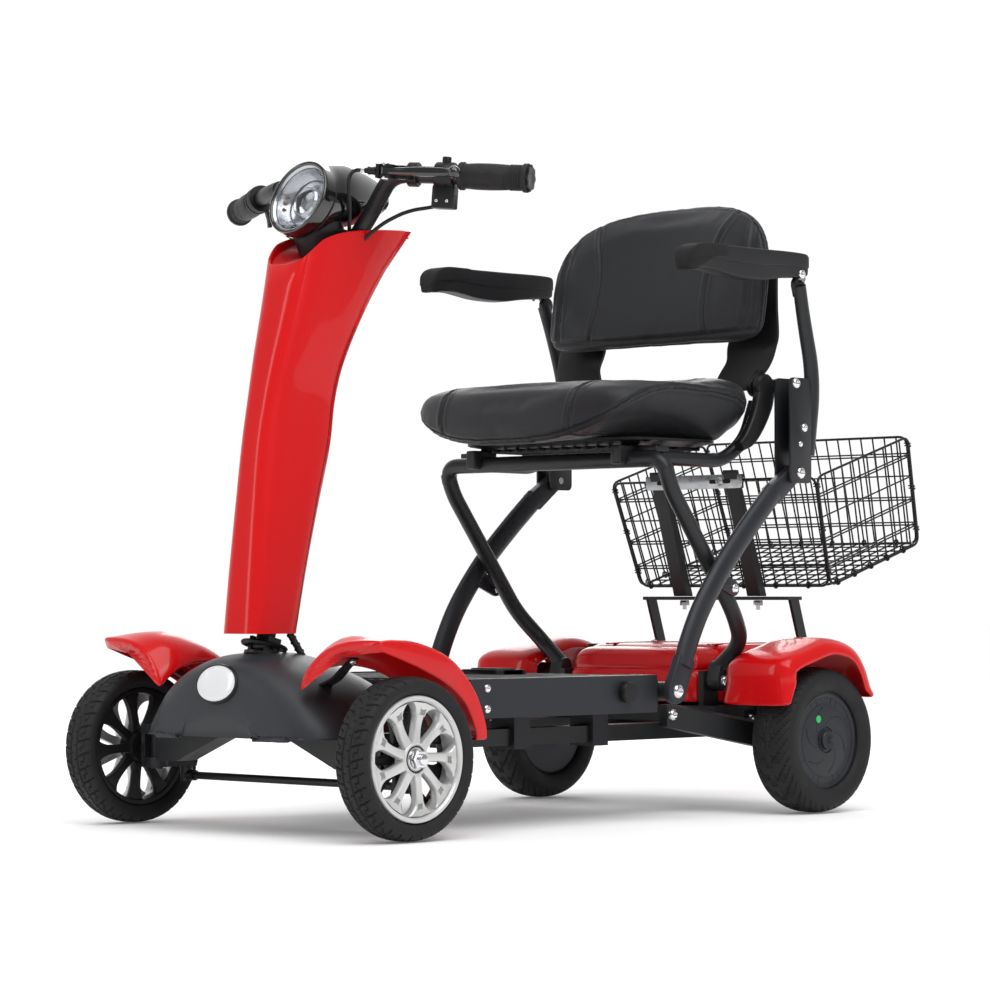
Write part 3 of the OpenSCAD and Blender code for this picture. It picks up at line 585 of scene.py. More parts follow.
for k in range(9):
    angle = 2 * math.pi * k / 9 + 0.12
    spoke(rim, at, angle, lambda t: 18.5 - 3.2 * math.sin(math.pi * t) * 0.6, lambda t: 8 - 2 * t, 0)
    spoke(rim, at, angle + math.radians(20), lambda t: -4 - 2 * t, lambda t: -14 - 1.5 * t, 1, swirl=0, flare=6)
    # Cast pad where the spoke meets the rim, and the raised edge round it
    mid = angle + math.radians(7) * 0.7
    rim.loft([[wheel_point(at, h, r, mid + lean + across / r) for r, lean, across in (
        (54.5, 0, 3.6), (66, 0.03, 5.4), (66, 0.03, -5.4), (54.5, 0, -3.6))] for h in (14.55, 17.9)], 4)
    rim.tube([wheel_point(at, 17.5, r, mid + a) for r, a in (
        (66.6, 0.03 + 6 / 66), (60, 0.012 + 4.9 / 60), (54, 4.2 / 54),
        (54, -4.2 / 54), (60, 0.012 - 4.9 / 60), (66.6, 0.03 - 6 / 66))], 0.0008, 8, 0)
rim.tube([wheel_point(at, 19.4, 74.2, a) for a in around(90)], 0.0006, 6, 0, closed=True)
# Valve
rim.tube([wheel_point(at, 2, 67, 2.4), wheel_point(at, 3, 58, 2.4)], 0.0022, 12, 2)
rim.build_pair("front_rim_cast", [SILVER, PLASTIC, CHROME, PAINTED_SHADE, PAD], ("front_wheel_left", "front_wheel_right"),
               "silver_alloy", (["front_rim_left"], ["front_rim_right"]), sharp=32)

axle_end = Shape()
axle_end.revolve([(0, 20.2), (11.8, 20.2), (11.8, 22.2), (0, 22.2)], at, X, 40, 0)
axle_end.nut(at + Vector((0.022, 0, 0)), X, 12.2, 6.8, 0)
axle_end.revolve([(0, 28), (6.9, 28), (7, 31.6), (6.2, 33), (3.4, 33.6), (0, 33.8)], at, X, 28, 0)
axle_end.build_pair("front_axle_nut", CHROME, ("steer_left", "steer_right"), "steel")

# ---- rear wheels: dark motor hubs ----
at = centre("rear_tyre_left")
hub = Shape()
hub.revolve([(66.6, 22), (65.4, 24), (62, 24), (59.6, 22.6), (58.8, 19), (58.6, 10), (51.4, 10), (51.2, 20.5),
             (50.2, 22.4), (44, 23.2), (30, 23.8), (18, 24), (17.4, 22.6), (15.6, 22.6), (15, 24.2), (13.6, 24.6),
             (13.2, 29), (12.2, 30), (0, 30), (0, -8), (17, -12), (17, -26), (30, -27), (58, -24), (62, -24.5),
             (66.4, -22)], at, X, 120, 0)
for k in range(8):
    angle = 2 * math.pi * k / 8 + 0.35
    for shift in (-0.1, 0.1):
        hub.loft([[wheel_point(at, x, r, angle + shift + s * 0.012)
                   for x, s in ((12, -1), (22.4, -1), (22.4, 1), (12, 1))] for r in (50.5, 59.5)], 0)
    hub.revolve([(4.4, 12), (4.4, 21.8), (3.2, 21.8), (3.2, 12)], wheel_point(at, 0, 55, angle), X, 24, 0,
                closed=True)
    # Near-black floor in each hole: painted shade
    hub.revolve([(3.4, 12), (3.4, 19), (0, 19), (0, 12)], wheel_point(at, 0, 55, angle), X, 20, 1)
# Thin near-black lines swept over the face: painted shade of fine grooves
for k in range(6):
    start = 2 * math.pi * k / 6
    sweep = smooth_path([wheel_point(at, 23.9 - 0.012 * r, r, start + 0.9 * ((r - 19) / 26) ** 1.3)
                         for r in (21, 27, 33, 39, 45)], 4)
    hub.tube(sweep, 0.00055, 6, 1)
hub.revolve([(5, 22), (5, 24.1), (3.6, 24.25), (0, 24.25), (0, 22)], wheel_point(at, 0, 33, -0.5), X, 28, 2)
hub.tube([wheel_point(at, 24.1, 63.2, a) for a in around(90)], 0.0005, 6, 0, closed=True)
hub.build_pair("rear_hub_motor", [HUB, PAINTED_SHADE, GREEN], ("rear_wheel_left", "rear_wheel_right"), "hub_metal",
               (["rear_hub_left"], ["rear_hub_right"]), sharp=30)

# ---- steering column shroud ----
SHROUD = [(250, 36, -438, -357), (330, 34.5, -431, -338), (410, 32.5, -423, -316), (490, 31, -414, -293),
          (550, 32, -403, -285), (600, 35.5, -392, -271), (650, 39.5, -380, -243), (700, 43.5, -369, -208),
          (735, 46.5, -362, -182)]


RIM_Z, RIM_FRONT, RIM_DEPTH = 735, 362, 180


def shroud_level(z):
    """Half width, front y and rear y at a height, from a smooth curve through the levels."""
    pts = smooth_path([Vector((w, f, r)) for _, w, f, r in SHROUD], 12)
    zs = smooth_path([Vector((row[0], 0, 0)) for row in SHROUD], 12)
    for (a, b), (za, zb) in zip(zip(pts, pts[1:]), zip(zs, zs[1:])):
        if za.x <= z <= zb.x:
            return a.lerp(b, (z - za.x) / (zb.x - za.x))
    return pts[-1] if z > RIM_Z else pts[0]


def shroud_ring(z, wall, n=96):
    w, f, r = shroud_level(z)
    mid, d = (f + r) / 2, (r - f) / 2 - wall
    return [Vector((x, mid + y, z)) for x, y in superellipse(w - wall, d, 0.5, n)]


def shroud_top(wall, n=96):
    """Saddle-shaped rim: a notch in the front face, corners beside it, and a horn at the rear."""
    out = []
    for q in shroud_ring(RIM_Z, wall, n):
        t = min(1, max(0, (q.y + RIM_FRONT) / RIM_DEPTH))
        side = min(1, abs(q.x) / 44)
        rise = t * t * (3 - 2 * t)
        z = 720 + (4 + 42 * (1 - math.exp(-t / 0.17)) + 10 * t) * (side ** 2.2 * (1 - rise) + rise)
        out.append(Vector((q.x * (1 + 0.03 * t), q.y + 26 * rise, z)))
    return out


def shroud_rows(wall):
    """Rings of one face of the shroud, which follow the rim's shape more and more above 600 mm."""
    top, flat = shroud_top(wall), shroud_ring(RIM_Z, wall)
    out = []
    for z in range(250, 701, 10):
        k = max(0, (z - 600) / 135)
        out.append([q + Vector((0, 0, (p.z - RIM_Z) * min(1, k * 0.92) ** 1.5))
                    + Vector((0, (p.y - q0.y) * min(1, k * 0.9) ** 3, 0))
                    for q, p, q0 in zip(shroud_ring(z, wall), top, flat)])
    return out + [top]


shroud = Shape()
outer, inner = shroud_rows(0), shroud_rows(3)
loop = outer + [[(a + b) / 2 + Vector((0, 0, 1.2)) for a, b in zip(outer[-1], inner[-1])]] + inner[::-1]
shroud.loft([[P(*q) for q in ring] for ring in loop], caps=False, closed=True)
shroud.build("shroud_skin", RED, "tiller", "red_gloss", ["column_shroud"], sharp=50)
lid = Shape()
middle = Vector((0, -292, 744))
lid_rows = [[(q - Vector((0, 0, 7 + 4 * t))).lerp(middle, t) for q in inner[-1]] for t in (0, 0.2, 0.45, 0.7, 0.9)]
lid.loft([[P(*q) for q in row] for row in lid_rows + [[q - Vector((0, 0, 2)) for q in row]
                                                      for row in lid_rows[::-1]]], caps=False, closed=True)
lid.build("shroud_lid", RED, "tiller", "red_gloss", sharp=60)
# Parting lines as thin near-black tubes on the red skin: painted shade of their fine grooves
seam = Shape()
for k in (9, 39):
    seam.tube([P(*row[k]) for row in outer[1:-7]], 0.0006, 6, 0)
seam.build("shroud_parting_line_shade", PAINTED_SHADE, "tiller", "red_gloss")

# ---- headlight: glossy black teardrop with a clear lens ----
LAMP = P(0, -326, 807)
LAMP_TILT = math.radians(20)
lamp_dir = Vector((0, -math.cos(LAMP_TILT), math.sin(LAMP_TILT)))
lamp_up = Vector((0, math.sin(LAMP_TILT), math.cos(LAMP_TILT)))


def lamp_ring(depth, half_w, up, down, n=56, lean=1.0):
    """Ring behind the lens plane: half width, and reach up and down, in millimetres."""
    turn = LAMP_TILT * lean
    u = Vector((0, math.sin(turn), math.cos(turn)))
    level = P(0, -326 + depth, 807 + depth * 0.06)
    mid = level.lerp(LAMP - lamp_dir * depth / 1000, min(1, max(0, 1 - depth / 34)))
    return [mid + X * half_w * math.cos(a) / 1000
            + u * (up if math.sin(a) > 0 else down) * math.sin(a) / 1000 for a in around(n)]


housing = Shape()
# Round rings from the bowl's inside over the bezel, then the shell that narrows to the rear
curve = [lamp_ring(depth, r, r, r) for depth, r in (
    (26, 4), (25, 40), (22, 45.2), (8, 46.6), (-4, 45.4), (-8, 45.8), (-9.8, 48.4), (-8, 50.8), (0, 51))]
curve += [lamp_ring(depth, half_w, up, down, lean=lean) for depth, half_w, up, down, lean in (
    (12, 50.6, 51, 50, 0.95), (30, 49, 51, 46, 0.8), (52, 45.5, 49.5, 41, 0.6), (76, 40, 45, 35.5, 0.4),
    (100, 33, 38.5, 29.5, 0.25), (122, 25, 30, 22.5, 0.1), (140, 16, 19, 14, 0), (150, 7, 8, 6, 0))]
dense = [smooth_path([ring[k] for ring in curve], 4) for k in range(len(curve[0]))]
housing.loft([[line[i] for line in dense] for i in range(len(dense[0]))], 0)
# Groove between the bezel and the shell, as a near-black tube of painted shade; neck and its collar
housing.tube([LAMP - lamp_dir * 0.011 + (X * math.cos(a) + lamp_up * math.sin(a)) * 0.0508
              for a in around(72)], 0.0009, 6, 1, closed=True)
neck = [P(0, -302, 782), P(0, -298, 768), P(0, -294, 752), P(0, -292, 738)]
housing.tube(neck, [0.036, 0.034, 0.031, 0.028], 40, 2)
housing.revolve([(0, -14), (34, -14), (36, -10), (34, -6), (0, -6)], P(0, -289, 776), (0, 0.05, 1), 40, 2)
housing.build("headlight_shell", [GLOSS, PAINTED_SHADE, PLASTIC], "tiller", "black_gloss", ["headlight_housing"], sharp=40)

lamp_inside = Shape()
lamp_inside.revolve([(46.5, 6), (45.4, 7.2), (43.6, 6), (40, -2), (35, -9), (27, -14.5), (20, -17), (20, -19.5),
                     (28, -18), (37, -12), (43, -4), (46.5, 3)], LAMP, lamp_dir, 96, 0, closed=True)
for r in (30, 35, 39.5):
    lamp_inside.revolve([(r, -11), (r + 0.9, -9.2), (r + 1.8, -9.6), (r + 1.8, -12)],
                        LAMP + lamp_dir * (0.006 if r > 38 else -0.001), lamp_dir, 96, 0, closed=True)
lamp_inside.revolve([(21, -18), (21, -7), (18.4, -4.5), (16.5, -6), (16.5, -18)], LAMP, lamp_dir, 64, 0,
                    closed=True)
for s in (-1, 1):
    for k in range(-1, 2):
        a = k * 0.24 + (math.pi if s < 0 else 0)
        lamp_inside.revolve([(0, -9), (2.3, -9), (2.3, -4.4), (1.5, -3.6), (0, -3.4)],
                            LAMP + (X * math.cos(a) + lamp_up * math.sin(a)) * 0.0375, lamp_dir, 16, 1)
lamp_inside.build("headlight_bowl", [MIRROR, AMBER], "tiller", "steel", ["headlight_reflector"])
projector = Shape()
projector.revolve([(0, -16), (16.4, -16), (16.4, -8), (14, -3.4), (9, 0.4), (4, 1.8), (0, 2.1)], LAMP, lamp_dir,
                  64)
projector.build("headlight_projector", LENS, "tiller", "lamp_clear")
lens = Shape()
lens.revolve([(0, 9), (12, 8.7), (24, 7.5), (36, 5.8), (43, 4.4), (45.2, 3.4), (45.2, 2), (43, 2.4), (36, 3.8),
              (24, 5.4), (12, 6.6), (0, 6.9)], LAMP, lamp_dir, 96)
lens.build("headlight_cover_lens", LENS, "tiller", "lamp_clear", ["headlight_lens"])

# ---- handlebars, grips and controls ----
GRIP_IN, GRIP_OUT = P(192, -230, 829.5), P(275, -190.6, 823)
grip_dir = (GRIP_OUT - GRIP_IN).normalized()
yaw, pitch = math.atan2(grip_dir.y, grip_dir.x), math.pi / 2 - math.asin(grip_dir.z)
grip_x = Vector((math.cos(yaw) * math.cos(pitch), math.sin(yaw) * math.cos(pitch), -math.sin(pitch)))
grip_y = Vector((-math.sin(yaw), math.cos(yaw), 0))


def G(x, y, z):
    """A place in the left grip's own axes: x down, y back, z outwards along the grip."""
    return GRIP_IN + (grip_x * x + grip_y * y + grip_dir * z) / 1000


bar = Shape()
bar.tube(rounded_path([P(20, -259, 752), P(44, -250, 786), P(102, -265, 836), G(0, 0, -62), G(0, 0, 84)], 0.024,
                      12), 0.011, 28)
bar.build_pair("handlebar_tube", FRAME, ("tiller", "tiller"), "frame_paint",
               (["handlebar_left"], ["handlebar_right"]))

grip = Shape()
profile = [(11.4, -0.5), (17.2, -0.5), (18, 0.6), (18, 4.8), (17, 6), (16, 6.6), (16.1, 10), (16.9, 22),
           (17.1, 40), (16.6, 55), (15.9, 66)]
for k in range(5):
    z = 67 + 3.2 * k
    profile += [(15.9, z), (16.6, z + 0.8), (16.6, z + 2), (15.9, z + 2.6)]
profile += [(16.2, 84), (18.4, 85.5), (18.6, 90), (17.6, 91.5), (11.4, 91.5)]
grip.revolve(profile, GRIP_IN, grip_dir, 64, 0, closed=True)
for s in (-1, 1):
    # Raised palm pads with slanting edges, as on a shaped rubber grip
    for z0, z1, a0, a1 in ((12, 40, -0.9, 0.5), (43, 62, -0.5, 0.9)):
        rows = []
        for i in range(9):
            z = z0 + (z1 - z0) * i / 8
            lift = 0.55 * math.sin(math.pi * i / 8) ** 0.4
            row = []
            for j in range(13):
                a = s * (math.pi / 2) + (a0 + (a1 - a0) * j / 12) + 0.02 * (z - z0)
                r = 16.9 + lift * math.sin(math.pi * j / 12) ** 0.4
                row.append(G(r * math.cos(a), r * math.sin(a), z))
            row += [G(15 * math.cos(a), 15 * math.sin(a), z)]
            row += [G(15 * math.cos(s * (math.pi / 2) + a0), 15 * math.sin(s * (math.pi / 2) + a0), z)]
            rows.append(row)
        grip.loft(rows, 0)
cap = []
for z, r in ((91.2, 14), (91.6, 16), (94, 16.4), (95, 14.8), (95, 8), (94.4, 6), (94.4, 0.1)):
    lobe = 1.2 if r > 12 else 0
    cap.append([G((r + lobe * math.cos(8 * a)) * math.cos(a), (r + lobe * math.cos(8 * a)) * math.sin(a), z)
                for a in around(64)])
grip.loft(cap, 1)
grip.build_pair("grip_rubber", [GRIP, PLASTIC], ("tiller", "tiller"), "grip_rubber",
                (["grip_left"], ["grip_right"]), sharp=32)

perch = Shape()
perch.revolve([(11.2, -69.5), (15, -69.5), (15.8, -68.6), (15.8, -57.4), (15, -56.5), (11.2, -56.5)], GRIP_IN,
              grip_dir, 40, 0, closed=True)
for sx in (-1, 1):
    perch.loft([[G(sx * x, y, z) for y, z in ((-33, -96), (-33, -88), (-27, -82), (-17, -80), (-17, -99),
                                              (-29, -100))] for x in (4.6, 9)], 0)
perch.loft([[G(sx * 8.6, y, z) for y, z in ((-22.8, -80), (-22.8, -60), (-11.5, -58), (-11.5, -76), (-17, -80))]
            for sx in (-1, 1)], 0)
perch.loft([[G(sx * 8.8, y, z) for y, z in ((-31.5, -104), (-31.5, -99.2), (-17, -99.2), (-17, -84), (-20, -84),
                                            (-20, -103))] for sx in (-1, 1)], 0)
perch.revolve([(0, -10), (4.2, -10), (4.2, -8.5), (5.6, -8.5), (5.6, -9.6), (0, -9.9)], G(0, -28, -92), grip_x, 20,
              2)
for s in (1, -1):
    perch.bolt(G(s * 8.8, -28, -92), grip_x * s, 5.2, 2, 2.6)
perch.revolve([(0, 0), (5.4, 0), (5.4, 3), (4.8, 3.6), (4.8, 9), (5.4, 9.6), (5.4, 11), (3.6, 12), (3.6, 15.4),
               (0, 15.4)], G(0, -28, -104), -grip_dir, 20, 0)
perch.revolve([(0, 14), (2.9, 14), (2.7, 20.5), (0, 20.5)], G(0, -28, -104), -grip_dir, 16, 2)
perch.bolt(G(6, 15, -63), grip_y, 3.6, 2, 2)
perch.build("brake_clamp", [PLASTIC, PAINTED_SHADE, CHROME], "tiller", "black_plastic", ["brake_perch"], sharp=40)

lever = Shape()
lever_path = smooth_path([G(0, -28, -93), G(0, -29.5, -80), G(0, -33.5, -60), G(0, -36, -42), G(0, -38, -22),
                          G(0, -40, -6), G(0, -40, 3)], 5)
radii = [(0.0042, 0.0042), (0.0046, 0.0044), (0.0054, 0.005), (0.006, 0.0052), (0.0058, 0.005), (0.005, 0.0048),
         (0.0046, 0.0046)]
rings = []
for i, q in enumerate(lever_path):
    j, share = between(radii, i / (len(lever_path) - 1))
    rx, ry = (a + (b - a) * share for a, b in zip(radii[j], radii[j + 1]))
    rings.append([q + grip_x * x + grip_y * y * 0.8 for x, y in superellipse(rx, ry, 0.7, 24)])
lever.loft(rings, 0)
lever.revolve([(0, -4.2), (6.6, -4.2), (6.6, 4.2), (0, 4.2)], G(0, -28, -92), grip_x, 24, 0)
ball = [(8.4 * math.sin(math.pi * k / 16), -8.4 * math.cos(math.pi * k / 16)) for k in range(17)]
lever.revolve(ball, G(0, -40, 5), grip_dir, 32, 0)
lever.build("brake_lever_blade", GLOSS, "brake", "frame_paint", ["brake_lever"], sharp=45)

pod = Shape()
pod.revolve([(11.2, -32), (16.4, -32), (17, -31), (17, -9), (16.4, -8), (11.2, -8)], GRIP_IN, grip_dir, 48, 0,
            closed=True)
# Near-black band round the collar: painted shade of a groove
pod.revolve([(16.6, -20.6), (17.2, -20.2), (17.2, -19.4), (16.6, -19)], GRIP_IN, grip_dir, 48, 1, closed=True)
pod.loft([[G(x, 4 + v * k, -21 + u * k) for u, v in superellipse(15, 12, 0.35, 40)]
          for x, k in ((10, 0.9), (16, 1.0), (40, 1.0), (41.6, 0.96), (42, 0.9))], 0)
# Near-black seam round the housing: painted shade of the gap
pod.loft([[G(x, 4 + v, -21 + u) for u, v in superellipse(15.1, 12.1, 0.35, 40)] for x in (25.6, 26.4)], 1)
for z in (-28, -14):
    pod.bolt(G(33, -8, z), -grip_y, 2.2, 2, 1.2)
# Near-black slot: painted shade
pod.loft([[G(30 + u, y, -21 + v) for u, v in superellipse(1.6, 4.6, 0.5, 24)] for y in (-8.4, -7.6)], 1)
pod.build("switch_housing", [PLASTIC, PAINTED_SHADE, CHROME], "tiller", "black_plastic", ["switch_pod"], sharp=35)

horn = Shape()
horn.revolve([(0, -15.2), (5.8, -15.2), (5.8, -22.4), (5.2, -23.6), (3, -24), (0, -23.6)], G(0, 0, -20), grip_x,
             32)
horn.build("horn_cap", PLASTIC, "horn", "grey_plastic", ["horn_button"])

throttle = Shape()
throttle.revolve([(11.3, -18), (17, -18), (18, -17), (18, -6), (17, -5), (11.3, -5)], GRIP_IN, grip_dir, 48, 0,
                 closed=True)
# Near-black band round the collar: painted shade of a groove
throttle.revolve([(17.9, -14.5), (18.4, -13.5), (18.4, -9.5), (17.9, -8.5)], GRIP_IN, grip_dir, 48, 1, closed=True)
paddle = [(10, 5.5, 1.0), (18, 8.5, 1.0), (26, 11, 1.05), (33, 12, 1.1), (37, 12, 0.95), (38, 11.8, 0.7)]
throttle.loft([[G(x, y + v, -11.5 + u * k) for u, v in superellipse(5.4, 2.6, 0.6, 24)] for x, y, k in paddle], 0)
for k in range(4):
    throttle.tube([G(24 + 3.4 * k, 13.4 + 0.25 * k, -15.5), G(24 + 3.4 * k, 13.4 + 0.25 * k, -7.5)], 0.0006, 8, 0)
throttle.mirrored().build("throttle_paddle", [PLASTIC, PAINTED_SHADE], "throttle", "grey_plastic", ["throttle_lever"],
                          sharp=35)

# ---- cords: both ends of each move with the tiller, so they are rigid along their routes ----
BRAKE_ROUTE = [(94, -307, 838), (87, -311, 839), (80, -313, 837), (74, -312, 832), (69, -309, 825),
               (64, -304, 817), (59, -299, 808), (54, -293, 798), (48, -287, 788), (42, -282, 778),
               (37, -278, 768), (32, -275, 758), (28, -272, 748), (24, -270, 738), (22, -268, 728)]
SWITCH_ROUTE = [(137, -217, 797), (128, -219, 796), (118, -222, 795), (108, -226, 794), (98, -230, 792),
                (88, -234, 789), (79, -238, 785), (70, -243, 780), (62, -248, 774), (54, -253, 767),
                (46, -258, 759), (39, -262, 750), (33, -265, 740), (28, -267, 730)]
COLUMN_ROUTE = [(18, -366, 262), (19, -365, 257), (20, -364, 252), (21, -363, 247), (23, -361, 242),
                (25, -359, 237), (27, -357, 232), (29, -355, 227), (31, -353, 222), (33, -351, 217),
                (34, -349, 212), (35, -347, 206), (36, -345, 200)]


for name, node, route, radius in (("brake_cable_outer", "brake_cable", BRAKE_ROUTE, 0.0025),
                                  ("switch_wire", "switch_lead", SWITCH_ROUTE, 0.0025)):
    path = smooth_path([P(*q) for q in route], 3)
    cord = Shape()
    cord.tube(path, radius, 16)
    obj = cord.build(name, WIRE, "tiller", "black_plastic", [node])
path = smooth_path([P(*q) for q in COLUMN_ROUTE], 3)
core = Shape()
core.tube(path, 0.0044, 16)
core.tube(winding(path, 7, 0.0042, 160, X), 0.0014, 8, 1)
obj = core.build("column_wire_wrapped", [WIRE, PLASTIC], "tiller", "black_plastic", ["column_lead"])

# ---- front cowl ----
COWL_SIDE = [(0, 226), (20, 225.5), (38, 222.5), (60, 216), (84, 206), (106, 193), (126, 176), (142, 156),
             (154, 138), (160, 124), (160.5, 121)]
COWL_ROWS = [(-470.5, 0.42, 46, 0.30), (-468.5, 0.62, 30, 0.55), (-464, 0.78, 19, 0.75), (-456, 0.90, 11, 0.9),
             (-445, 0.985, 6, 1), (-428, 1.04, 2, 1), (-405, 1.06, 0, 1), (-380, 1.06, -1, 1), (-350, 1.045, 1, 1),
             (-320, 1.01, 8, 1), (-295, 0.96, 17, 1), (-275, 0.91, 25, 1), (-269, 0.885, 30, 1)]


def cowl_ring(y, k, drop, full):
    side = smooth_path([Vector((x, z, 0)) for x, z in COWL_SIDE], 4)
    half = []
    for q in side:
        depth = (226 - q.y) / 105
        half.append(Vector((q.x * k, y, max(121, q.y - drop * (1 - depth) - (1 - full) * 8 * depth))))
    return half


rows = [cowl_ring(*row) for row in COWL_ROWS]
dense = [smooth_path([row[i] for row in rows], 4) for i in range(len(rows[0]))]
stations = len(dense[0])
verts, faces = [], []
width = len(rows[0]) * 2 - 1
for s in range(stations):
    half = [dense[i][s] for i in range(len(rows[0]))]
    for q in [Vector((-p.x, p.y, p.z)) for p in half[:0:-1]] + half:
        verts.append(P(*q))
for s in range(stations - 1):
    for k in range(width - 1):
        faces.append((s * width + k, s * width + k + 1, (s + 1) * width + k + 1, (s + 1) * width + k))
# The nose closes downwards from its first row
nose = [verts[k] for k in range(width)]
start = len(verts)
for t in (0.5, 1.0):
    for q in nose:
        verts.append(Vector((q.x * (1 + 0.18 * t), q.y + 0.0016 * t, q.z + (0.121 - q.z) * t)))
for r in range(2):
    for k in range(width - 1):
        a = (0 if r == 0 else start + (r - 1) * width) + k
        b = start + r * width + k
        faces.append((a, b, b + 1, a + 1))
cowl = Shape()
cowl.add(verts, faces)
cowl_obj = cowl.build("front_cowl_skin", COWL, "front_chassis", "cowl_plastic", ["front_cover"], sharp=50)
thick = cowl_obj.modifiers.new("wall", "SOLIDIFY")
thick.thickness, thick.offset = 0.0035, -1
collar = Shape()
collar.revolve([(25.5, -10), (29, -10), (30.5, -7), (29, -5), (25.5, -4.5)], P(0, -388, 242), leaning(14.5), 48, 0,
               closed=True)
collar.build("cowl_collar", PLASTIC, "front_chassis", "cowl_plastic")

badge = Shape()
badge_up = leaning(12)
face_dir = X.cross(badge_up)
badge_at = P(0, -469, 188)
for m, stack in ((1, [(38.6, 25.4, -9), (38.6, 25.4, 0.4), (37.4, 24.4, 2.2), (36, 23.2, 2.6), (35.6, 22.8, 0)]),
                 (0, [(35.7, 22.9, -1), (35.7, 22.9, 1.6), (34.8, 22.1, 2.2), (20, 13, 2.7), (0.1, 0.1, 2.8)])):
    badge.loft([[badge_at + X * a * math.cos(t) / 1000 + badge_up * b * math.sin(t) / 1000 + face_dir * h / 1000
                 for t in around(64)] for a, b, h in stack], m)
badge.build("badge_oval", [BADGE, PLASTIC], "front_chassis", "badge_light", ["badge"], sharp=40)

# ---- front fenders: thin flared sheets with a folded outer lip ----
WING = [((131, -452, 181), (262, -439, 243)), ((130, -420, 204), (264, -410, 243.5)),
        ((133, -380, 213), (264, -368, 238.5)), ((140, -335, 207), (263, -322, 223)),
        ((150, -299, 188), (261, -292, 202)), ((158, -272, 158), (260, -268, 174)),
        ((165, -254, 124), (259, -252, 140)), ((166, -250, 112), (258, -249, 120))]
# How far each row of the sheet crowns over its chord near the inner edge, and how far its outer wall hangs
WING_CROWN = [23, 24, 20, 14, 9, 6, 4, 3]
WING_HANG = [13, 22, 29, 31, 27, 22, 19, 17]
inner_edge = smooth_path([Vector(a) for a, _ in WING], 8)
outer_edge = smooth_path([Vector(b) for _, b in WING], 8)
extras = smooth_path([Vector((c, h, 0)) for c, h in zip(WING_CROWN, WING_HANG)], 8)
axle = centre("front_tyre_left")
axle_y, axle_z = (axle.y - MID_Y) * 1000, axle.z * 1000
fender = Shape()
rings = []
CROWN = [(0, 0, 0), (0.015, 0.26, 0.8), (0.05, 0.54, 1.8), (0.11, 0.8, 3), (0.2, 0.96, 4.6), (0.32, 1, 6.6),
         (0.5, 0.82, 8), (0.7, 0.48, 7), (0.86, 0.2, 4.6), (0.95, 0.06, 2.2), (0.985, 0, 0.6), (1, 0, -2)]
for a, b, x in zip(inner_edge, outer_edge, extras):
    u = b - a
    skin = [a + u * t + Z * (steep * x.x + flat) for t, steep, flat in CROWN]
    reach = Vector((0, axle_y - b.y, axle_z - b.z))
    hang = max(4.0, min(x.y, reach.length - 104))
    down = reach.normalized()
    ring = skin + [b - X * inward + down * fall for inward, fall in (
        (0, hang * 0.5), (0, hang), (1.6, hang + 0.8), (3, hang), (3.2, hang * 0.4))]
    ring += [a + u * min(t, 0.97) + Z * (steep * x.x + flat - 3.4) + X * (3.2 if t < 0.05 else 0)
             for t, steep, flat in CROWN[-2::-1]]
    rings.append([P(*q) for q in ring])
fender.loft(rings, 0)
fender.build_pair("front_fender_skin", RED, ("front_chassis", "front_chassis"), "red_gloss",
                  (["front_fender_left"], ["front_fender_right"]), sharp=42, subsurf=1)

bracket = Shape()
strap = smooth_path([P(106, -391, 186), P(122, -396, 188), P(146, -401, 196), P(168, -405, 210),
                     P(186, -408, 221)], 5)
wide = [0.012 - 0.006 * i / (len(strap) - 1) for i in range(len(strap))]
rings = []
for i, q in enumerate(strap):
    s = Y.cross(tangent(strap, i)).normalized()
    rings.append([q + Y * y * wide[i] + s * x * 0.0014 for x, y in ((1, -1), (1, 1), (-1, 1), (-1, -1))])
bracket.loft(rings, 0)
bracket.bolt(P(182, -408, 217), (0.3, -0.2, -0.9), 4.5, 1, 3)
bracket.bolt(P(106, -398, 187), (0, -1, 0.1), 7, 1, 4)
bracket.bolt(P(106, -405, 187), (0, -1, 0.1), 4, 1, 3)
bracket.plus_mirror().build("fender_strap", [FRAME, CHROME], "front_chassis", "frame_paint", ["fender_brackets"])

# ---- front springs: wound red wire round a damper ----
spring = Shape()
route = smooth_path([P(112, -391, 176), P(124, -391, 155), P(136, -391, 134), P(144, -391, 119)], 12)
spring.tube(winding(route, 7, 0.0098, 321, Y), 0.0021, 10, 0)
spring.tube(route, 0.0055, 16, 1)
for q, j in ((route[0], 1), (route[-1], -2)):
    spring.revolve([(0, -2), (12, -2), (12, 1.5), (0, 1.5)], q, route[j] - q, 32, 2)
spring.plus_mirror().build("spring_coil", [SPRING, CHROME, FRAME], "front_chassis", "spring_red",
                           ["front_springs"])


def hull2(points):
    """Convex outline round some (u, v) points, anticlockwise."""
    p = sorted(set((round(u, 4), round(v, 4)) for u, v in points))
    out = []
    for run in (p, p[::-1]):
        part = []
        for q in run:
            while len(part) > 1 and ((part[-1][0] - part[-2][0]) * (q[1] - part[-2][1])
                                     - (part[-1][1] - part[-2][1]) * (q[0] - part[-2][0])) <= 1e-9:
                part.pop()
            part.append(q)
        out += part[:-1]
    return out


def disc(u, v, r, n=28):
    return [(u + r * math.cos(2 * math.pi * k / n), v + r * math.sin(2 * math.pi * k / n)) for k in range(n)]


def slab(u0, v0, u1, v1, r=5):
    """Outline of a rectangle with round corners."""
    return hull2([q for u, v in ((u0 + r, v0 + r), (u1 - r, v0 + r), (u1 - r, v1 - r), (u0 + r, v1 - r))
                  for q in disc(u, v, r, 24)])


# ---- rear cover and fenders ----
cover = Shape()
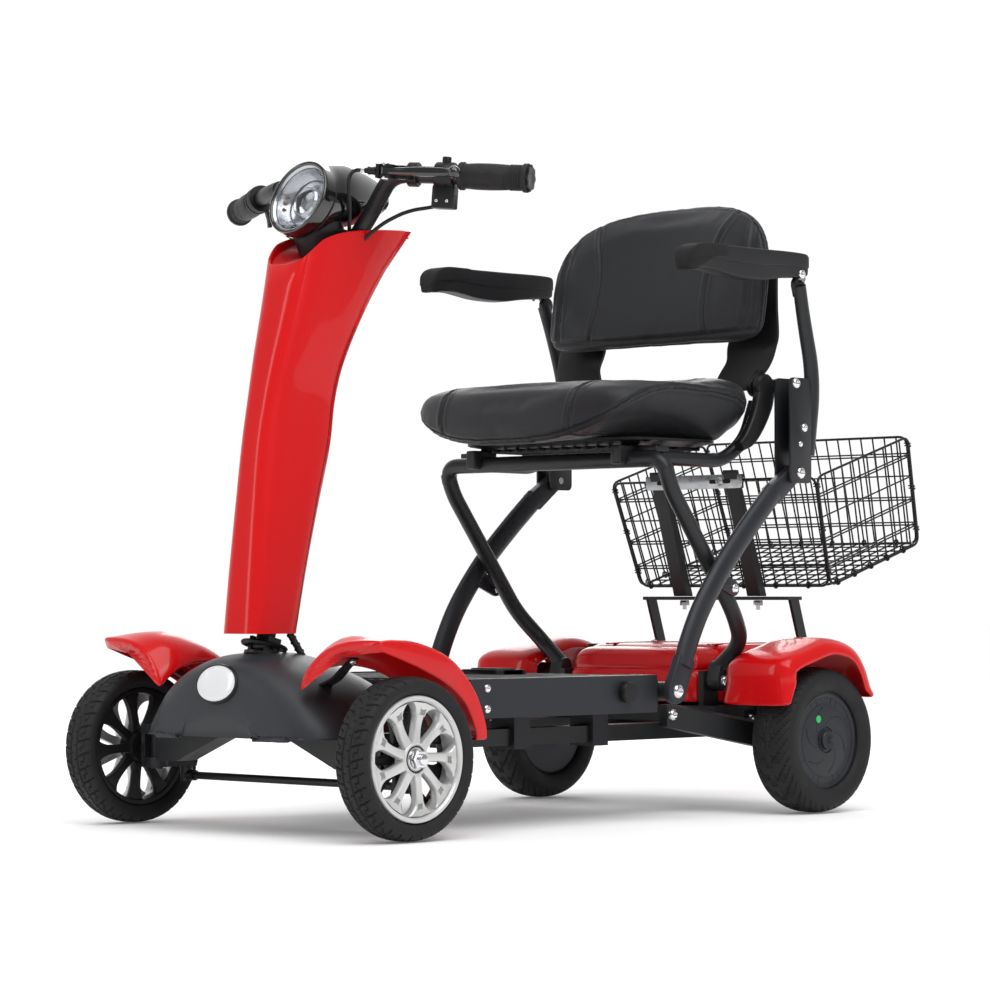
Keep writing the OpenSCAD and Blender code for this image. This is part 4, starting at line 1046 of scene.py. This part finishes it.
# Height, half width and half depth of the cover's body
COVER = [(150.2, 161, 88), (151, 164.4, 91.4), (156, 165, 92), (178, 164.6, 91.6), (192, 162.6, 90),
         (196, 160, 87.4), (197.6, 158.6, 86), (199, 159.6, 87), (206, 159, 86.4), (216, 156.4, 84),
         (224, 151, 79), (228.6, 143, 71.4), (230, 132, 61), (230.2, 90, 36), (230.4, 3, 2)]
cover.loft([[P(x, 448 + y, z) for x, y in superellipse(a, b, 0.3, 160)] for z, a, b in COVER], 0)
cover.loft([[P(x, 346 + y, z - 4.4 * (z - 150) / 80)
             for x, y in superellipse(max(3, a - 41), max(2, b - 44), 0.3, 120)] for z, a, b in COVER], 0)
# Moulded ribs on the front slope and the parting line round the foot
for x in (-96, 96):
    cover.tube([P(x, 362, 229.3), P(x, 400, 230.4), P(x, 470, 230.6), P(x, 520, 230)], (0.004, 0.0012), 12, 0,
               ref=Z)
cover.build("rear_cover_skin", RED, "rear_chassis", "red_gloss", ["rear_cover"], sharp=50)

ARCH = [(287, 148), (286, 175), (286.5, 196), (292, 210), (312, 221.5), (345, 231), (385, 240.5), (420, 238),
        (448, 227), (468, 206), (480, 183), (489, 160)]
arch = smooth_path([Vector((0, y, z)) for y, z in ARCH], 6)
SECTION = [(180, -17), (184, -11), (191, -5.5), (203, -2), (220, -0.4), (245, 0), (268, -0.2), (282, -1.6),
           (291, -5), (296, -10.5), (298, -18), (298, -24), (295.2, -24), (295, -17), (291, -10), (284, -6.2),
           (268, -4), (245, -3.6), (220, -4), (204, -5.6), (193, -9), (187, -14.5), (183, -20)]
fender = Shape()
rings = []
for i, q in enumerate(arch):
    t = tangent(arch, i)
    trim = min(1.0, 0.35 + i / 10, 0.5 + (len(arch) - 1 - i) / 8)
    rings.append([P(x, q.y - t.z * h * trim, q.z + t.y * h * trim) for x, h in SECTION])
fender.loft(rings, 0)
fender.build_pair("rear_fender_skin", RED, ("rear_chassis", "rear_chassis"), "red_gloss",
                  (["rear_fender_left"], ["rear_fender_right"]), sharp=50, subsurf=1)
stay = Shape()
stay.box((126, 405, 119), (176, 425, 138), 1.5)
stay.box((171, 405, 119), (175, 425, 228), 1.2)
for x in (140, 164):
    stay.bolt(P(x, 405, 128), -Y, 6, 1, 4)
stay.plus_mirror().build("rear_fender_stay", [FRAME, CHROME], "rear_chassis", "frame_paint")
hoop = Shape()
hoop.tube(rounded_path([P(268, 482, 190), P(268, 497, 184), P(268, 499, 168), P(268, 487, 164)], 0.007), 0.0016,
          10)
hoop.plus_mirror().build("fender_hoop", CHROME, "rear_chassis", "silver_alloy")

# ---- basket: rounded wire panels hooked together ----
BASKET_TILT = math.radians(17)


def BK(x, d, h):
    return P(x, 528 + d * math.cos(BASKET_TILT) - h * math.sin(BASKET_TILT),
             309.5 + d * math.sin(BASKET_TILT) + h * math.cos(BASKET_TILT))


def half_w(h):
    return 180.5 + 15 * h / 165


HEAVY, WIRE_R = 0.0019, 0.00125
# Heights of the level wires, and the angles of the hooks that grip the floor wire
LEVELS = (30, 34, 68, 72, 104, 134, 138)
HOOK = [0.5 * j for j in range(-2, 11)]
basket = Shape()


def ring_wire(corners, reach=0.014, r=HEAVY):
    """Closed wire with rounded corners."""
    c = [Vector(q) for q in corners]
    pts = rounded_path([(c[-1] + c[0]) / 2] + c + [(c[-1] + c[0]) / 2], reach, 5)[:-1]
    basket.tube(pts, r, 8, closed=True)


for s in (-1, 1):
    # Side panel
    ring_wire([BK(s * half_w(2), 3, 2), BK(s * half_w(2), 219, 2), BK(s * half_w(163), 222, 163),
               BK(s * half_w(163), 1, 163)])
    for k in range(1, 11):
        d = 220 * k / 11
        basket.tube([BK(s * half_w(-1), d, 1), BK(s * half_w(80), d, 80), BK(s * half_w(164), d, 164)], WIRE_R, 6)
        if k % 2:
            basket.tube([BK(s * (half_w(1) + 4.4 * math.sin(a)), d, 3.4 - 4.4 * math.cos(a)) for a in HOOK],
                        WIRE_R, 6)
    for h in LEVELS:
        basket.tube([BK(s * half_w(h), 2.4, h), BK(s * half_w(h), 220.5, h)], WIRE_R, 6)
for d, dt in ((3, 1), (219, 222)):
    # Front and rear panels
    ring_wire([BK(-half_w(2) + 3, d, 2), BK(half_w(2) - 3, d, 2), BK(half_w(163) - 3, dt, 163),
               BK(-half_w(163) + 3, dt, 163)])
    for k in range(1, 18):
        t = -1 + 2 * k / 18
        basket.tube([BK(t * half_w(0), d, 1), BK(t * half_w(80), (d + dt) / 2, 80), BK(t * half_w(164), dt, 164)],
                    WIRE_R, 6)
        if k % 3 == 1:
            way = 1 if d > 100 else -1
            basket.tube([BK(t * half_w(0), d + 4.4 * math.sin(a) * way, 3.4 - 4.4 * math.cos(a)) for a in HOOK],
                        WIRE_R, 6)
    for h in LEVELS:
        basket.tube([BK(-half_w(h) + 2, d + (dt - d) * h / 163, h), BK(half_w(h) - 2, d + (dt - d) * h / 163, h)],
                    WIRE_R, 6)
# Floor
ring_wire([BK(-178, 5, 3), BK(178, 5, 3), BK(178, 217, 3), BK(-178, 217, 3)])
for k in range(1, 16):
    basket.tube([BK(-178 + 356 * k / 16, 4, 1.6), BK(-178 + 356 * k / 16, 218, 1.6)], WIRE_R, 6)
for k in range(1, 9):
    basket.tube([BK(-179, 4 + 214 * k / 9, 4.2), BK(179, 4 + 214 * k / 9, 4.2)], WIRE_R, 6)
# Wire loops that tie the panels at the corners
for s in (-1, 1):
    for d, dt in ((3, 1), (219, 222)):
        for h in (22, 84, 148):
            x, y = s * (half_w(h) - 1.6), d + (dt - d) * h / 163
            basket.tube([BK(x + 4.2 * math.cos(0.5 * j), y + 4.2 * math.sin(0.5 * j), h + 0.3 * j)
                         for j in range(26)], 0.0011, 6)
basket.build("basket_wires", WIRE, "rear_chassis", "wire_black", ["basket"], sharp=70)

plate = Shape()
plate.prism(slab(-92, 452, 92, 472, 5), 440.9, 443.9, "y", 0.5, 0)
for x0, x1 in ((-70, -30), (30, 70)):
    # Near-black pads on both faces over the slots: painted shade
    plate.prism(slab(x0, 459, x1, 465, 2.9), 440.5, 440.95, "y", 0, 1)
    plate.prism(slab(x0, 459, x1, 465, 2.9), 443.85, 444.2, "y", 0, 1)
    plate.bolt(P((x0 + x1) / 2, 440.5, 462), (0, -1, 0), 6.5, 0, 4)
    plate.nut(P((x0 + x1) / 2, 444, 462), (0, 1, 0), 6, 5, 0)
plate.build("basket_plate", [GALVANISED, PAINTED_SHADE], "rear_chassis", "silver_alloy")
fixings = Shape()
for x in (-70, 70):
    fixings.nut(P(x, 502, 284), (0, 0, 1), 7, 7.6, 0)
    fixings.revolve([(0, 0), (3.3, 0), (3.3, 13), (0, 13)], P(x, 502, 278), (0, 0, 1), 16, 0)
    fixings.bolt(P(x, 499, 300.4), (0, 0, 1), 6, 0, 3.4)
for s in (-1, 1):
    fixings.bolt(P(s * 162.5, 320, 180), (s, 0, 0), 9, 0, 5.5)
    fixings.bolt(P(s * 159.5, 213, 136), (s, 0, 0), 8, 0, 5)
    fixings.bolt(P(s * 120, 490, 231), (0, 0, 1), 4.5, 0, 2.6)
fixings.build("rear_fixings", CHROME, "rear_chassis", "silver_alloy", ["rear_bolts"])

# ---- scissor legs ----
legs = Shape()
half = [P(150, 323, 200), P(190, 322, 234), P(206, 286, 275), P(206, 152, 448), P(206, 143, 482)]
path = half + [Vector((-q.x, q.y, q.z)) for q in half[::-1]]
legs.tube(rounded_path(path, 0.024, 12), 0.011, 28)
for s in (-1, 1):
    legs.prism(hull2(disc(320, 180, 14) + disc(322, 198, 11)), s * 139, s * 161, "x", 1.2)
legs.build("leg_b_tube", FRAME, "leg_b_frame", "frame_paint", ["leg_b"], sharp=45)

leg = Shape()
leg.tube(smooth_path([P(231, 150, 204), P(231, 163, 235), P(231, 185, 275), P(231, 215, 315), P(230.5, 252, 356),
                      P(229, 300, 401), P(227, 346, 441)], 8), (0.016, 0.0098), 32, ref=X)
leg.prism(hull2(disc(134, 171, 17) + [(136, 205), (138, 220), (166, 220), (169, 206)]), 226, 237.6, "x", 1.6)
leg.prism(hull2(disc(388, 468, 12) + [(330, 425), (352, 425), (330, 446)]), 219.5, 233.8, "x", 1.4)
leg.prism(hull2(disc(230, 322, 11.6) + disc(262, 308, 10.6)), 222.4, 228, "x", 0.8)
leg.bolt(P(241.6, 388, 468), X, 8, 1, 4)
leg.revolve([(0, -22), (5, -22), (5, 8), (0, 8)], P(234, 388, 468), X, 24, 1)
leg.bolt(P(237.4, 134, 171), X, 9.5, 1, 5)
leg.nut(P(222.6, 262, 308), (-1, 0, 0), 6.5, 4.4, 1)
leg.bolt(P(228, 262, 308), X, 6.5, 1, 3.6)
leg.build_pair("leg_a_tube", [RAIL, CHROME], ("leg_a_frame", "leg_a_frame"), "frame_paint",
               (["leg_a_left"], ["leg_a_right"]), sharp=45)

# ---- seat posts and armrests ----
post = Shape()
for x in (213, 238.5):
    post.prism(slab(366, 454, 412, 600, 7), x, x + 3, "x", 0.6)
post.box((213.4, 408.4, 500), (241.2, 412, 598), 0.6)
riser = rounded_path([P(229, 417, 494), P(236, 424, 600), P(239, 397, 688), P(243, 385.5, 723)], 0.042, 14)
post.tube(riser, [(0.013 - 0.0032 * i / len(riser), 0.0096 - 0.001 * i / len(riser)) for i in range(len(riser))],
          32, ref=X)
post.prism(hull2(disc(385, 729, 11.6) + [(378, 712), (392, 712)]), 236.4, 243.6, "x", 0.8)
post.revolve([(0, -6), (5, -6), (5, 7), (0, 7)], P(243, 385, 737), X, 24, 1)
for y, z, r, height in ((378, 592, 7.5, 4.6), (396, 531, 6, 3.6), (388, 508, 4, 2.4)):
    post.bolt(P(241.5, y, z), X, r, 1, height)
post.nut(P(213, 378, 592), (-1, 0, 0), 6.5, 4.5, 1)
post.build_pair("seat_post_steel", [FRAME, CHROME], ("post_left", "post_right"), "frame_paint",
                (["seat_post_left"], ["seat_post_right"]), sharp=40)

arm = Shape()
STATIONS = [(137.8, 9, 739, 746), (138.8, 12.6, 736, 751), (141, 15, 734.6, 756.5), (146, 16.4, 734.4, 762),
            (153, 17, 734.6, 766.4), (163, 17, 735, 769.4), (176, 17, 735.6, 770.4), (190, 17, 735, 770.4),
            (208, 17, 732.6, 770.4), (232, 17, 729.4, 770.4), (260, 17, 728, 770.5), (290, 16.9, 728.5, 770.7),
            (312, 16.6, 731.5, 771), (335, 16.2, 734.5, 771.4), (360, 15.6, 737, 771.4), (380, 15, 738.5, 770.8),
            (389, 13.5, 740.5, 768.5), (393.4, 10, 744, 763)]
# Place, half width and lower edge of each section; then the same with the upper edge
cols = smooth_path([(y, a, lo) for y, a, lo, hi in STATIONS], 4)
tops = smooth_path([(y, a, hi) for y, a, lo, hi in STATIONS], 4)


def arm_side(a, lo, hi):
    """Right half of the section: flat top, upright wall, small ledge, then a body that tapers down."""
    ledge = max(lo + 2.5, min(752, lo + (hi - lo) * 0.48))
    return [(0, hi), (a - 3.4, hi), (a - 1.2, hi - 0.5), (a - 0.2, hi - 1.8), (a, hi - 3.6), (a, ledge + 0.8),
            (a - 0.3, ledge), (a - 1.5, ledge - 0.5), (a - 1.7, ledge - 1.6),
            (a * 0.84, min(ledge - 1.9, lo + 4.2)), (a * 0.8, min(ledge - 2.1, lo + 1.6)), (a * 0.72, lo + 0.3),
            (a * 0.6, lo), (0, lo)]


def arm_ring(c, half):
    return [P(243 + x, c, z) for x, z in half] + [P(243 - x, c, z) for x, z in half[-2:0:-1]]


arm.loft([arm_ring(c.x, arm_side(c.y, c.z, t.z)) for c, t in zip(cols, tops)], 0)
# Textured cap over the nose and the front of the pad
rings = []
for i, (c, t) in enumerate(zip(cols, tops)):
    if c.x > 214:
        break
    grow = 0.9 if c.x < 209 else 0.2
    half = arm_side(c.y + grow, c.z - grow, t.z + grow)
    floor_z = c.z - grow + (756 - c.z) * min(1, max(0, (c.x - 150) / 40))
    rings.append(arm_ring(c.x - 0.8 * max(0, 1 - i / 6), [(x, max(z, floor_z)) for x, z in half]))
arm.loft(rings, 1)
arm.bolt(P(256, 374, 742), X, 6.5, 3, 3)
arm.build_pair("armrest_pad", [ARM, ARM_CAP, PAINTED_SHADE, CHROME], ("arm_left", "arm_right"), "black_plastic",
               (["armrest_left"], ["armrest_right"]), sharp=50)

# ---- seat frame under the cushion ----
rails = Shape()
half_rail = rounded_path([P(178, 168, 484), P(178, 296, 484), P(185, 336, 514), P(190, 352, 566)], 0.022, 10)
rails.tube([P(137, 152, 489), P(160, 160, 486)] + half_rail, 0.0098, 24)
rails.box((128, 120, 476), (146, 166, 502), 3)
rails.box((146, 150, 492), (186, 176, 500), 2)
rails.bolt(P(146, 143, 482), X, 7, 1, 3.6)
# Curved shell that covers the hinge at the rear corner
shell_mid = smooth_path([(350, 601, 0), (356, 588, 0), (352, 566, 0), (340, 540, 0), (322, 516, 0), (302, 503, 0)],
                        6)
widths = [9, 17, 18, 15, 12, 7]
rings = []
for i, q in enumerate(shell_mid):
    t = tangent(shell_mid, i)
    j, share = between(widths, i / (len(shell_mid) - 1))
    w = widths[j] + (widths[j + 1] - widths[j]) * share
    rings.append([P(204 - 0.010 * (588 - q.y) + x, q.x - t.y * u, q.y + t.x * u)
                  for u, x in superellipse(w, 7, 0.5, 32)])
rails.loft(rings, 2)
rails.revolve([(0, -4), (16.5, -4), (17.5, -2), (17.5, 4), (15.5, 7.5), (8, 8.4), (0, 8.4)], P(203, 353, 588), X,
              40, 2)
rails.bolt(P(206.4, 353, 588), X, 6.5, 1, 4)
rails.revolve([(0, 0), (9.5, 0), (9.5, 14), (0, 14)], P(198, 374, 590), X, 28, 0)
rails.plus_mirror()
for y in (212, 282):
    rails.tube([P(-176, y, 492), P(176, y, 492)], (0.010, 0.0028), 16, 0, ref=Z)
rails.build("seat_rail_tubes", [FRAME, CHROME, PLASTIC], "seat", "frame_paint", ["seat_rails"], sharp=45)

pan = Shape()
pan_levels = [(503, 146, 84), (505, 150, 88), (507.6, 165, 95), (509, 168, 97), (512.6, 168, 97), (513, 166, 95)]
pan.loft([[P(x, 219 + y, z) for x, y in superellipse(a, b, 0.3, 120)] for z, a, b in pan_levels], 0)
for k in range(-6, 7):
    pan.box((k * 22 - 1.4, 138, 498.5), (k * 22 + 1.4, 300, 504), 0.6)
for y in (150, 190, 246, 292):
    pan.box((-140, y - 1.4, 499.5), (140, y + 1.4, 504), 0.6)
pan.build("seat_pan_ribbed", PLASTIC, "seat", "black_plastic", ["seat_pan"], sharp=40)

support = Shape()
# Height, inner and outer edge, and y of the hourglass plate behind the backrest
PLATE = [(584, 122, 182, 361.5), (592, 113, 183, 363), (602, 111, 190, 365.5), (614, 116, 199, 369),
         (628, 122, 204, 373.5), (645, 119, 206, 378.5), (658, 119, 206, 383), (675, 123, 202, 388),
         (700, 126, 194, 396), (740, 127, 184, 408), (772, 130, 178, 417)]
heights = smooth_path([(z, 0, 0) for z, *_ in PLATE], 4)
edges = smooth_path([(a, b, y) for _, a, b, y in PLATE], 4)
rings = []
for z, q in zip(heights, edges):
    half, mid = 2.2, (q.x + q.y) / 2
    bulge = [(q.x, -half), (q.x + 4, -half - 1.2), (mid, -half - 2.2), (q.y - 4, -half - 1.2), (q.y, -half),
             (q.y, half), (mid, half), (q.x, half)]
    rings.append([P(x, q.z + d, z.x) for x, d in bulge])
support.loft(rings, 0)
support.prism(hull2(disc(353, 588, 14) + [(360, 612), (371, 612), (371, 596)]), 184.6, 192.6, "x", 1.2)
support.bolt(P(160, 379, 640), (0, -1, 0.28), 5.4, 1, 3.4)
support.plus_mirror().build("back_support_plates", [PLASTIC, CHROME], "backrest", "black_plastic",
                            ["back_support"], sharp=40)


def puff(name, rings, pressure, cap, voxel, frames=18, stiff=18, give=None, ease=4):
    """Blows a closed blank up under even pressure and lets its cover wrinkle."""
    blank = Shape().loft(rings)
    mesh = bpy.data.meshes.new(name + "_blank")
    mesh.from_pydata([tuple(p) for p in blank.v], [], blank.f)
    obj = bpy.data.objects.new(name + "_blank", mesh)
    scene.collection.objects.link(obj)
    bm = bmesh.new()
    bm.from_mesh(mesh)
    bmesh.ops.recalc_face_normals(bm, faces=bm.faces[:])
    bm.to_mesh(mesh)
    bm.free()
    remesh = obj.modifiers.new("remesh", "REMESH")
    remesh.mode, remesh.voxel_size = "VOXEL", voxel
    rested = bpy.data.meshes.new_from_object(obj.evaluated_get(bpy.context.evaluated_depsgraph_get()))
    obj.modifiers.clear()
    obj.data = rested
    start = [v.co.copy() for v in rested.vertices]
    cloth = obj.modifiers.new("cloth", "CLOTH")
    cloth.settings.quality = 5
    cloth.settings.mass = 0.3
    cloth.settings.tension_stiffness = cloth.settings.compression_stiffness = stiff
    cloth.settings.shear_stiffness = stiff * 0.6
    cloth.settings.bending_stiffness = 0.8
    cloth.settings.use_pressure = True
    cloth.settings.uniform_pressure_force = pressure
    cloth.settings.effector_weights.gravity = 0
    cloth.point_cache.frame_start, cloth.point_cache.frame_end = 1, frames
    for k in range(1, frames + 1):
        scene.frame_set(k)
        bpy.context.view_layer.update()
    blown = bpy.data.meshes.new_from_object(obj.evaluated_get(bpy.context.evaluated_depsgraph_get()))
    obj.modifiers.clear()
    obj.data = blown
    scene.frame_set(1)
    for v, was in zip(blown.vertices, start):
        move = v.co - was
        v.co = was + move * min(1, cap / max(move.length, 1e-9)) * (give(was) if give else 1)
    bm = bmesh.new()
    bm.from_mesh(obj.data)
    for _ in range(ease):
        bmesh.ops.smooth_vert(bm, verts=bm.verts[:], factor=0.5, use_axis_x=True, use_axis_y=True, use_axis_z=True)
    bm.to_mesh(obj.data)
    bm.free()
    smooth = obj.modifiers.new("smooth", "SUBSURF")
    smooth.levels = smooth.render_levels = 1
    final = bpy.data.meshes.new_from_object(obj.evaluated_get(bpy.context.evaluated_depsgraph_get()))
    obj.modifiers.clear()
    bpy.data.objects.remove(obj)
    return final


def sew(mesh, lines, width=0.0026, depth=0.0022):
    """Presses sewn grooves into the surface along the lines, each a list of close points."""
    points = [q for line in lines for q in line]
    tree = KDTree(len(points))
    for i, q in enumerate(points):
        tree.insert(q, i)
    tree.balance()
    normals = [v.normal.copy() for v in mesh.vertices]
    for v, n in zip(mesh.vertices, normals):
        d = tree.find(v.co)[2]
        if d < 4 * width:
            lip = 0.0011 * math.exp(-((d - 2.3 * width) / (1.2 * width)) ** 2)
            v.co = v.co - n * depth * math.exp(-(d / width) ** 2) + n * lip


def drop(tree, points, way):
    """The points moved along way until they meet the surface."""
    out = []
    for q in points:
        hit = tree.ray_cast(q - Vector(way) * 0.2, Vector(way), 0.6)[0]
        if hit is not None:
            out.append(hit)
    return out


def even(line, step=0.0016):
    """The line with points no further apart than step."""
    out = []
    for a, b in zip(line, line[1:]):
        n = max(1, int((b - a).length / step))
        out += [a.lerp(b, k / n) for k in range(n)]
    return out + [line[-1]]


def seam_line(tree, points, way, steps=40):
    """A sewn line: a smooth run through CAD points, dropped on to the surface."""
    return even(drop(tree, smooth_path([P(*q) for q in points], steps), way))


def cushion_piece(name, mesh, materials, body, node):
    mesh.materials.clear()
    for mat in materials:
        mesh.materials.append(mat)
    mesh.shade_smooth()
    obj = bpy.data.objects.new(name, mesh)
    scene.collection.objects.link(obj)
    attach(obj, body)
    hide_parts(node)
    return obj


def closed_curve(points):
    return smooth_path(points + [points[0]], 4)[:-1]


def piping(name, tree, welt, lift, r, body):
    """Piping along the welt, a little proud of the cover."""
    line = [tree.find_nearest(q)[0] + tree.find_nearest(q)[1] * lift for q in welt]
    return Shape().tube(line, r, 8, closed=True).build(name, LEATHER, body, "seat_cover")


# Seat: plan outline of its welt, with the welt's height and that of the side panels' lower edge
SEAT_RIM = [(0, 46, 507, 505), (60, 46.5, 508, 506), (110, 48.5, 514, 509), (150, 55, 526, 516),
            (181, 66, 541, 527), (198, 86, 556, 536), (205, 120, 571, 543), (206, 170, 581, 544),
            (205, 230, 580, 537), (204.5, 280, 574, 525), (202, 312, 566, 517), (190, 333, 552, 513),
            (160, 342, 534, 512), (105, 345, 520, 511), (50, 345, 516, 510), (0, 345, 515, 510)]
rim = both_sides(smooth_path([(x, y, w) for x, y, w, _ in SEAT_RIM], 5))
low = both_sides(smooth_path([(x, y, l) for x, y, _, l in SEAT_RIM], 5))
SEAT_Y = 196


def seat_top(x, y):
    """Height of the top cover: dished for the rider, higher at the back."""
    base = 583 + 6 * max(0.0, min(1.0, (y - 60) / 140)) + 12 * max(0.0, min(1.0, (y - 240) / 90)) ** 1.5
    dish = 5 * math.exp(-((abs(x) - 92) / 60) ** 2) * math.exp(-((y - 200) / 90) ** 2)
    return base - dish - 3 * (abs(x) / 205) ** 4


def seat_ring(scale, height):
    out = []
    for r, l in zip(rim, low):
        x, y = r.x * scale, SEAT_Y + (r.y - SEAT_Y) * scale
        out.append(P(x, y, height(x, y, r, l)))
    return out


def top_mix(t):
    return lambda x, y, r, l: r.z + (max(seat_top(x, y), r.z + 5) - r.z) * t


# The underside, the side panels up to the welt, then the top cover
seat_rings = [seat_ring(k, lambda x, y, r, l: 514 + max(0, l.z - 514) * t)
              for k, t in ((0.02, 0), (0.45, 0), (0.64, 0.3), (0.74, 0.8))]
seat_rings += [seat_ring(k, lambda x, y, r, l: l.z + (r.z - l.z) * t)
               for k, t in ((0.82, 0), (0.86, 0.2), (0.93, 0.62))]
seat_rings.append(seat_ring(0.975, lambda x, y, r, l: r.z - 3))
seat_rings += [seat_ring(k, top_mix(t)) for k, t in (
    (0.997, 0.02), (1.008, 0.22), (1.008, 0.46), (0.99, 0.74), (0.955, 0.92))]
for k in (0.9, 0.8, 0.65, 0.5, 0.35, 0.2, 0.02):
    seat_rings.append(seat_ring(k, lambda x, y, r, l: max(seat_top(x, y), r.z + 4) if k > 0.85
                                else seat_top(x, y)))


def over_welt(co):
    """1 for the top cover of the seat, falling to a little for the panels under its welt."""
    nearest = min(rim, key=lambda q: (P(*q) - co).to_2d().length)
    return 0.25 + 0.75 * min(1, max(0, (co.z - nearest.z / 1000 + 0.002) / 0.012))


seat_mesh = puff("seat", seat_rings, 2.4, 0.0045, 0.005, stiff=24, give=over_welt)


def surface_tree(mesh):
    return BVHTree.FromPolygons([v.co for v in mesh.vertices], [tuple(p.vertices) for p in mesh.polygons])


tree = surface_tree(seat_mesh)
seat_lines = []
for s in (-1, 1):
    seat_lines.append(seam_line(tree, [(s * x, y, 620) for x, y in (
        (122, 36), (128, 90), (132, 160), (131, 240), (124, 330))], -Z))
seat_lines.append(seam_line(tree, [(x, y, 620) for x, y in ((-128, 96), (-60, 88), (0, 86), (60, 88), (128, 96))],
                            -Z))
front_fall = []
for s in (-1, 1):
    run = [P(s * (122 - 4 * k / 30), 0, 576 - 62 * k / 30) for k in range(31)]
    front_fall.append(even(drop(tree, run, Y)))
welt = closed_curve([tree.find_nearest(P(q.x * 1.02, SEAT_Y + (q.y - SEAT_Y) * 1.02, q.z))[0] for q in rim])
sew(seat_mesh, seat_lines + front_fall + [even(welt + [welt[0]])])
cushion_piece("seat_cushion_cover", seat_mesh, [LEATHER], "seat", "seat_cushion")
tree = surface_tree(seat_mesh)
piping("seat_piping", tree, welt, 0.0006, 0.0021, "seat")


def stitches(lines, tree, body, name, gap=0.0034, off=0.0036):
    """Short stitches either side of each sewn groove."""
    piece = Shape()
    for line in lines:
        along = 0.0
        for a, b in zip(line, line[1:]):
            along += (b - a).length
            if along < gap * 1.7:
                continue
            along = 0.0
            way = (b - a).normalized()
            side = tree.find_nearest(a)[1].cross(way).normalized()
            for s in (-1, 1):
                foot, rise = tree.find_nearest(a + side * s * off)[:2]
                piece.tube([foot - way * gap / 2, foot + rise * 0.0004, foot + way * gap / 2], 0.00035, 5)
    return piece.build(name, STITCH, body, "seat_cover")


stitches(seat_lines + front_fall, tree, "seat", "seat_stitches")

# Backrest: outline of its welt, leaning back and wrapping forward at the sides
BACK_RIM = [(0, 650), (70, 650), (130, 651), (170, 654), (193, 661), (202, 674), (203.5, 700), (203.5, 732),
            (201.5, 762), (195, 789), (182, 811), (162, 829), (134, 843), (98, 852.5), (50, 858.5), (0, 860)]
rim = both_sides(smooth_path([(x, 0, z) for x, z in BACK_RIM], 5))
BACK_Z = 752


def back_y(x, z):
    """Middle of the backrest: it leans back, and wraps forward more towards its top corners."""
    return 352 + (z - 650) * math.tan(math.radians(17)) - max(0, 3 + 0.182 * (z - 666)) * (x / 200) ** 2


def back_ring(scale, offset):
    out = []
    for r in rim:
        x, z = r.x * scale, BACK_Z + (r.z - BACK_Z) * scale
        out.append(P(x, back_y(x, z) + offset, z))
    return out


back_rings = [back_ring(k, -d) for k, d in ((0.02, 20), (0.25, 20), (0.5, 19.5), (0.7, 18.5), (0.84, 16.5),
                                            (0.93, 13), (0.98, 8.5), (1.0, 3))]
back_rings += [back_ring(k, d) for k, d in ((1.0, 0), (0.985, 6), (0.95, 10), (0.88, 13), (0.7, 15), (0.45, 16),
                                            (0.2, 16), (0.02, 16))]
back_mesh = puff("back", back_rings, 2.2, 0.004, 0.005, stiff=24)
tree = surface_tree(back_mesh)
back_lines = []
for s in (-1, 1):
    back_lines.append(seam_line(tree, [(s * x, 200, z) for x, z in (
        (112, 664), (104, 700), (102, 745), (110, 790), (124, 826), (136, 848))], Y))
back_lines.append(seam_line(tree, [(x, 200, z) for x, z in (
    (-196, 668), (-120, 665), (0, 664), (120, 665), (196, 668))], Y, 50))
for dx in (0, 5):
    for s in (-1, 1):
        back_lines.append(seam_line(tree, [(s * (x - dx), 200, z) for x, z in (
            (178, 668), (181, 720), (180, 780), (172, 826), (166, 842))], Y))
welt = closed_curve([tree.find_nearest(P(q.x * 1.03, back_y(q.x, q.z) - 1, BACK_Z + (q.z - BACK_Z) * 1.04))[0]
                     for q in rim])
sew(back_mesh, back_lines + [even(welt + [welt[0]])])
cushion_piece("backrest_cover", back_mesh, [LEATHER], "backrest", "backrest_cushion")
tree = surface_tree(back_mesh)
piping("backrest_piping", tree, welt, 0.0005, 0.0019, "backrest")
stitches(back_lines[:3], tree, "backrest", "backrest_stitches")

# ---- CAD pieces that stay, with their own finish and softened edges ----
for node, mat, bevel in (("rear_frame", FRAME, 1.2), ("rack_bracket", FRAME, 1.0), ("basket_posts", FRAME, 0.8),
                         ("battery_pack", PLASTIC, 2.0), ("footboard_frame", RAIL, 1.6),
                         ("footboard_deck", DECK, 0.8), ("front_frame", FRAME, 1.2), ("steering_head", FRAME, 0.8),
                         ("steering_post", FRAME, 0.8), ("knuckle_left", FRAME, 1.0),
                         ("knuckle_right", FRAME, 1.0), ("tie_rod", FRAME, 0.6), ("leg_a_shaft", FRAME, 0.6)):
    node_look(node, mat, bevel)

trim = Shape()
for s in (-1, 1):
    # Rail knob, the bolts and end cap of the rail, and the ledge along the deck
    trim.revolve([(0, -1), (11, -1), (13.5, 1), (14, 4), (14, 9), (12.6, 11.4), (0, 12)], P(s * 215, 54, 171),
                 (s, 0, 0), 36, 0)
    for z in (181, 155):
        trim.bolt(P(s * 215, -206, z), (s, 0, 0), 5.5, 1, 3.4)
    trim.prism(slab(118, 150, 119.5, 186, 0.6), s * 190, s * 215, "x", 0.2)
    trim.prism(slab(-232, 187.6, 112, 193.6, 2.4), s * 186, s * 190.5, "x", 0.6)
# Raised plate with a smaller one on it, at the rear of the deck
for u, v0, v1, r, lo, hi in ((30, 8, 44, 8, 192, 198.4), (22, 14, 38, 6, 197, 200.2)):
    trim.prism(hull2([q for a in (-u, u) for b in (v0, v1) for q in disc(a, b, r)]), lo, hi, "z", 1.0, 2)
trim.build("footboard_trim", [PLASTIC, CHROME, DECK], "front_chassis", "black_plastic", sharp=40)
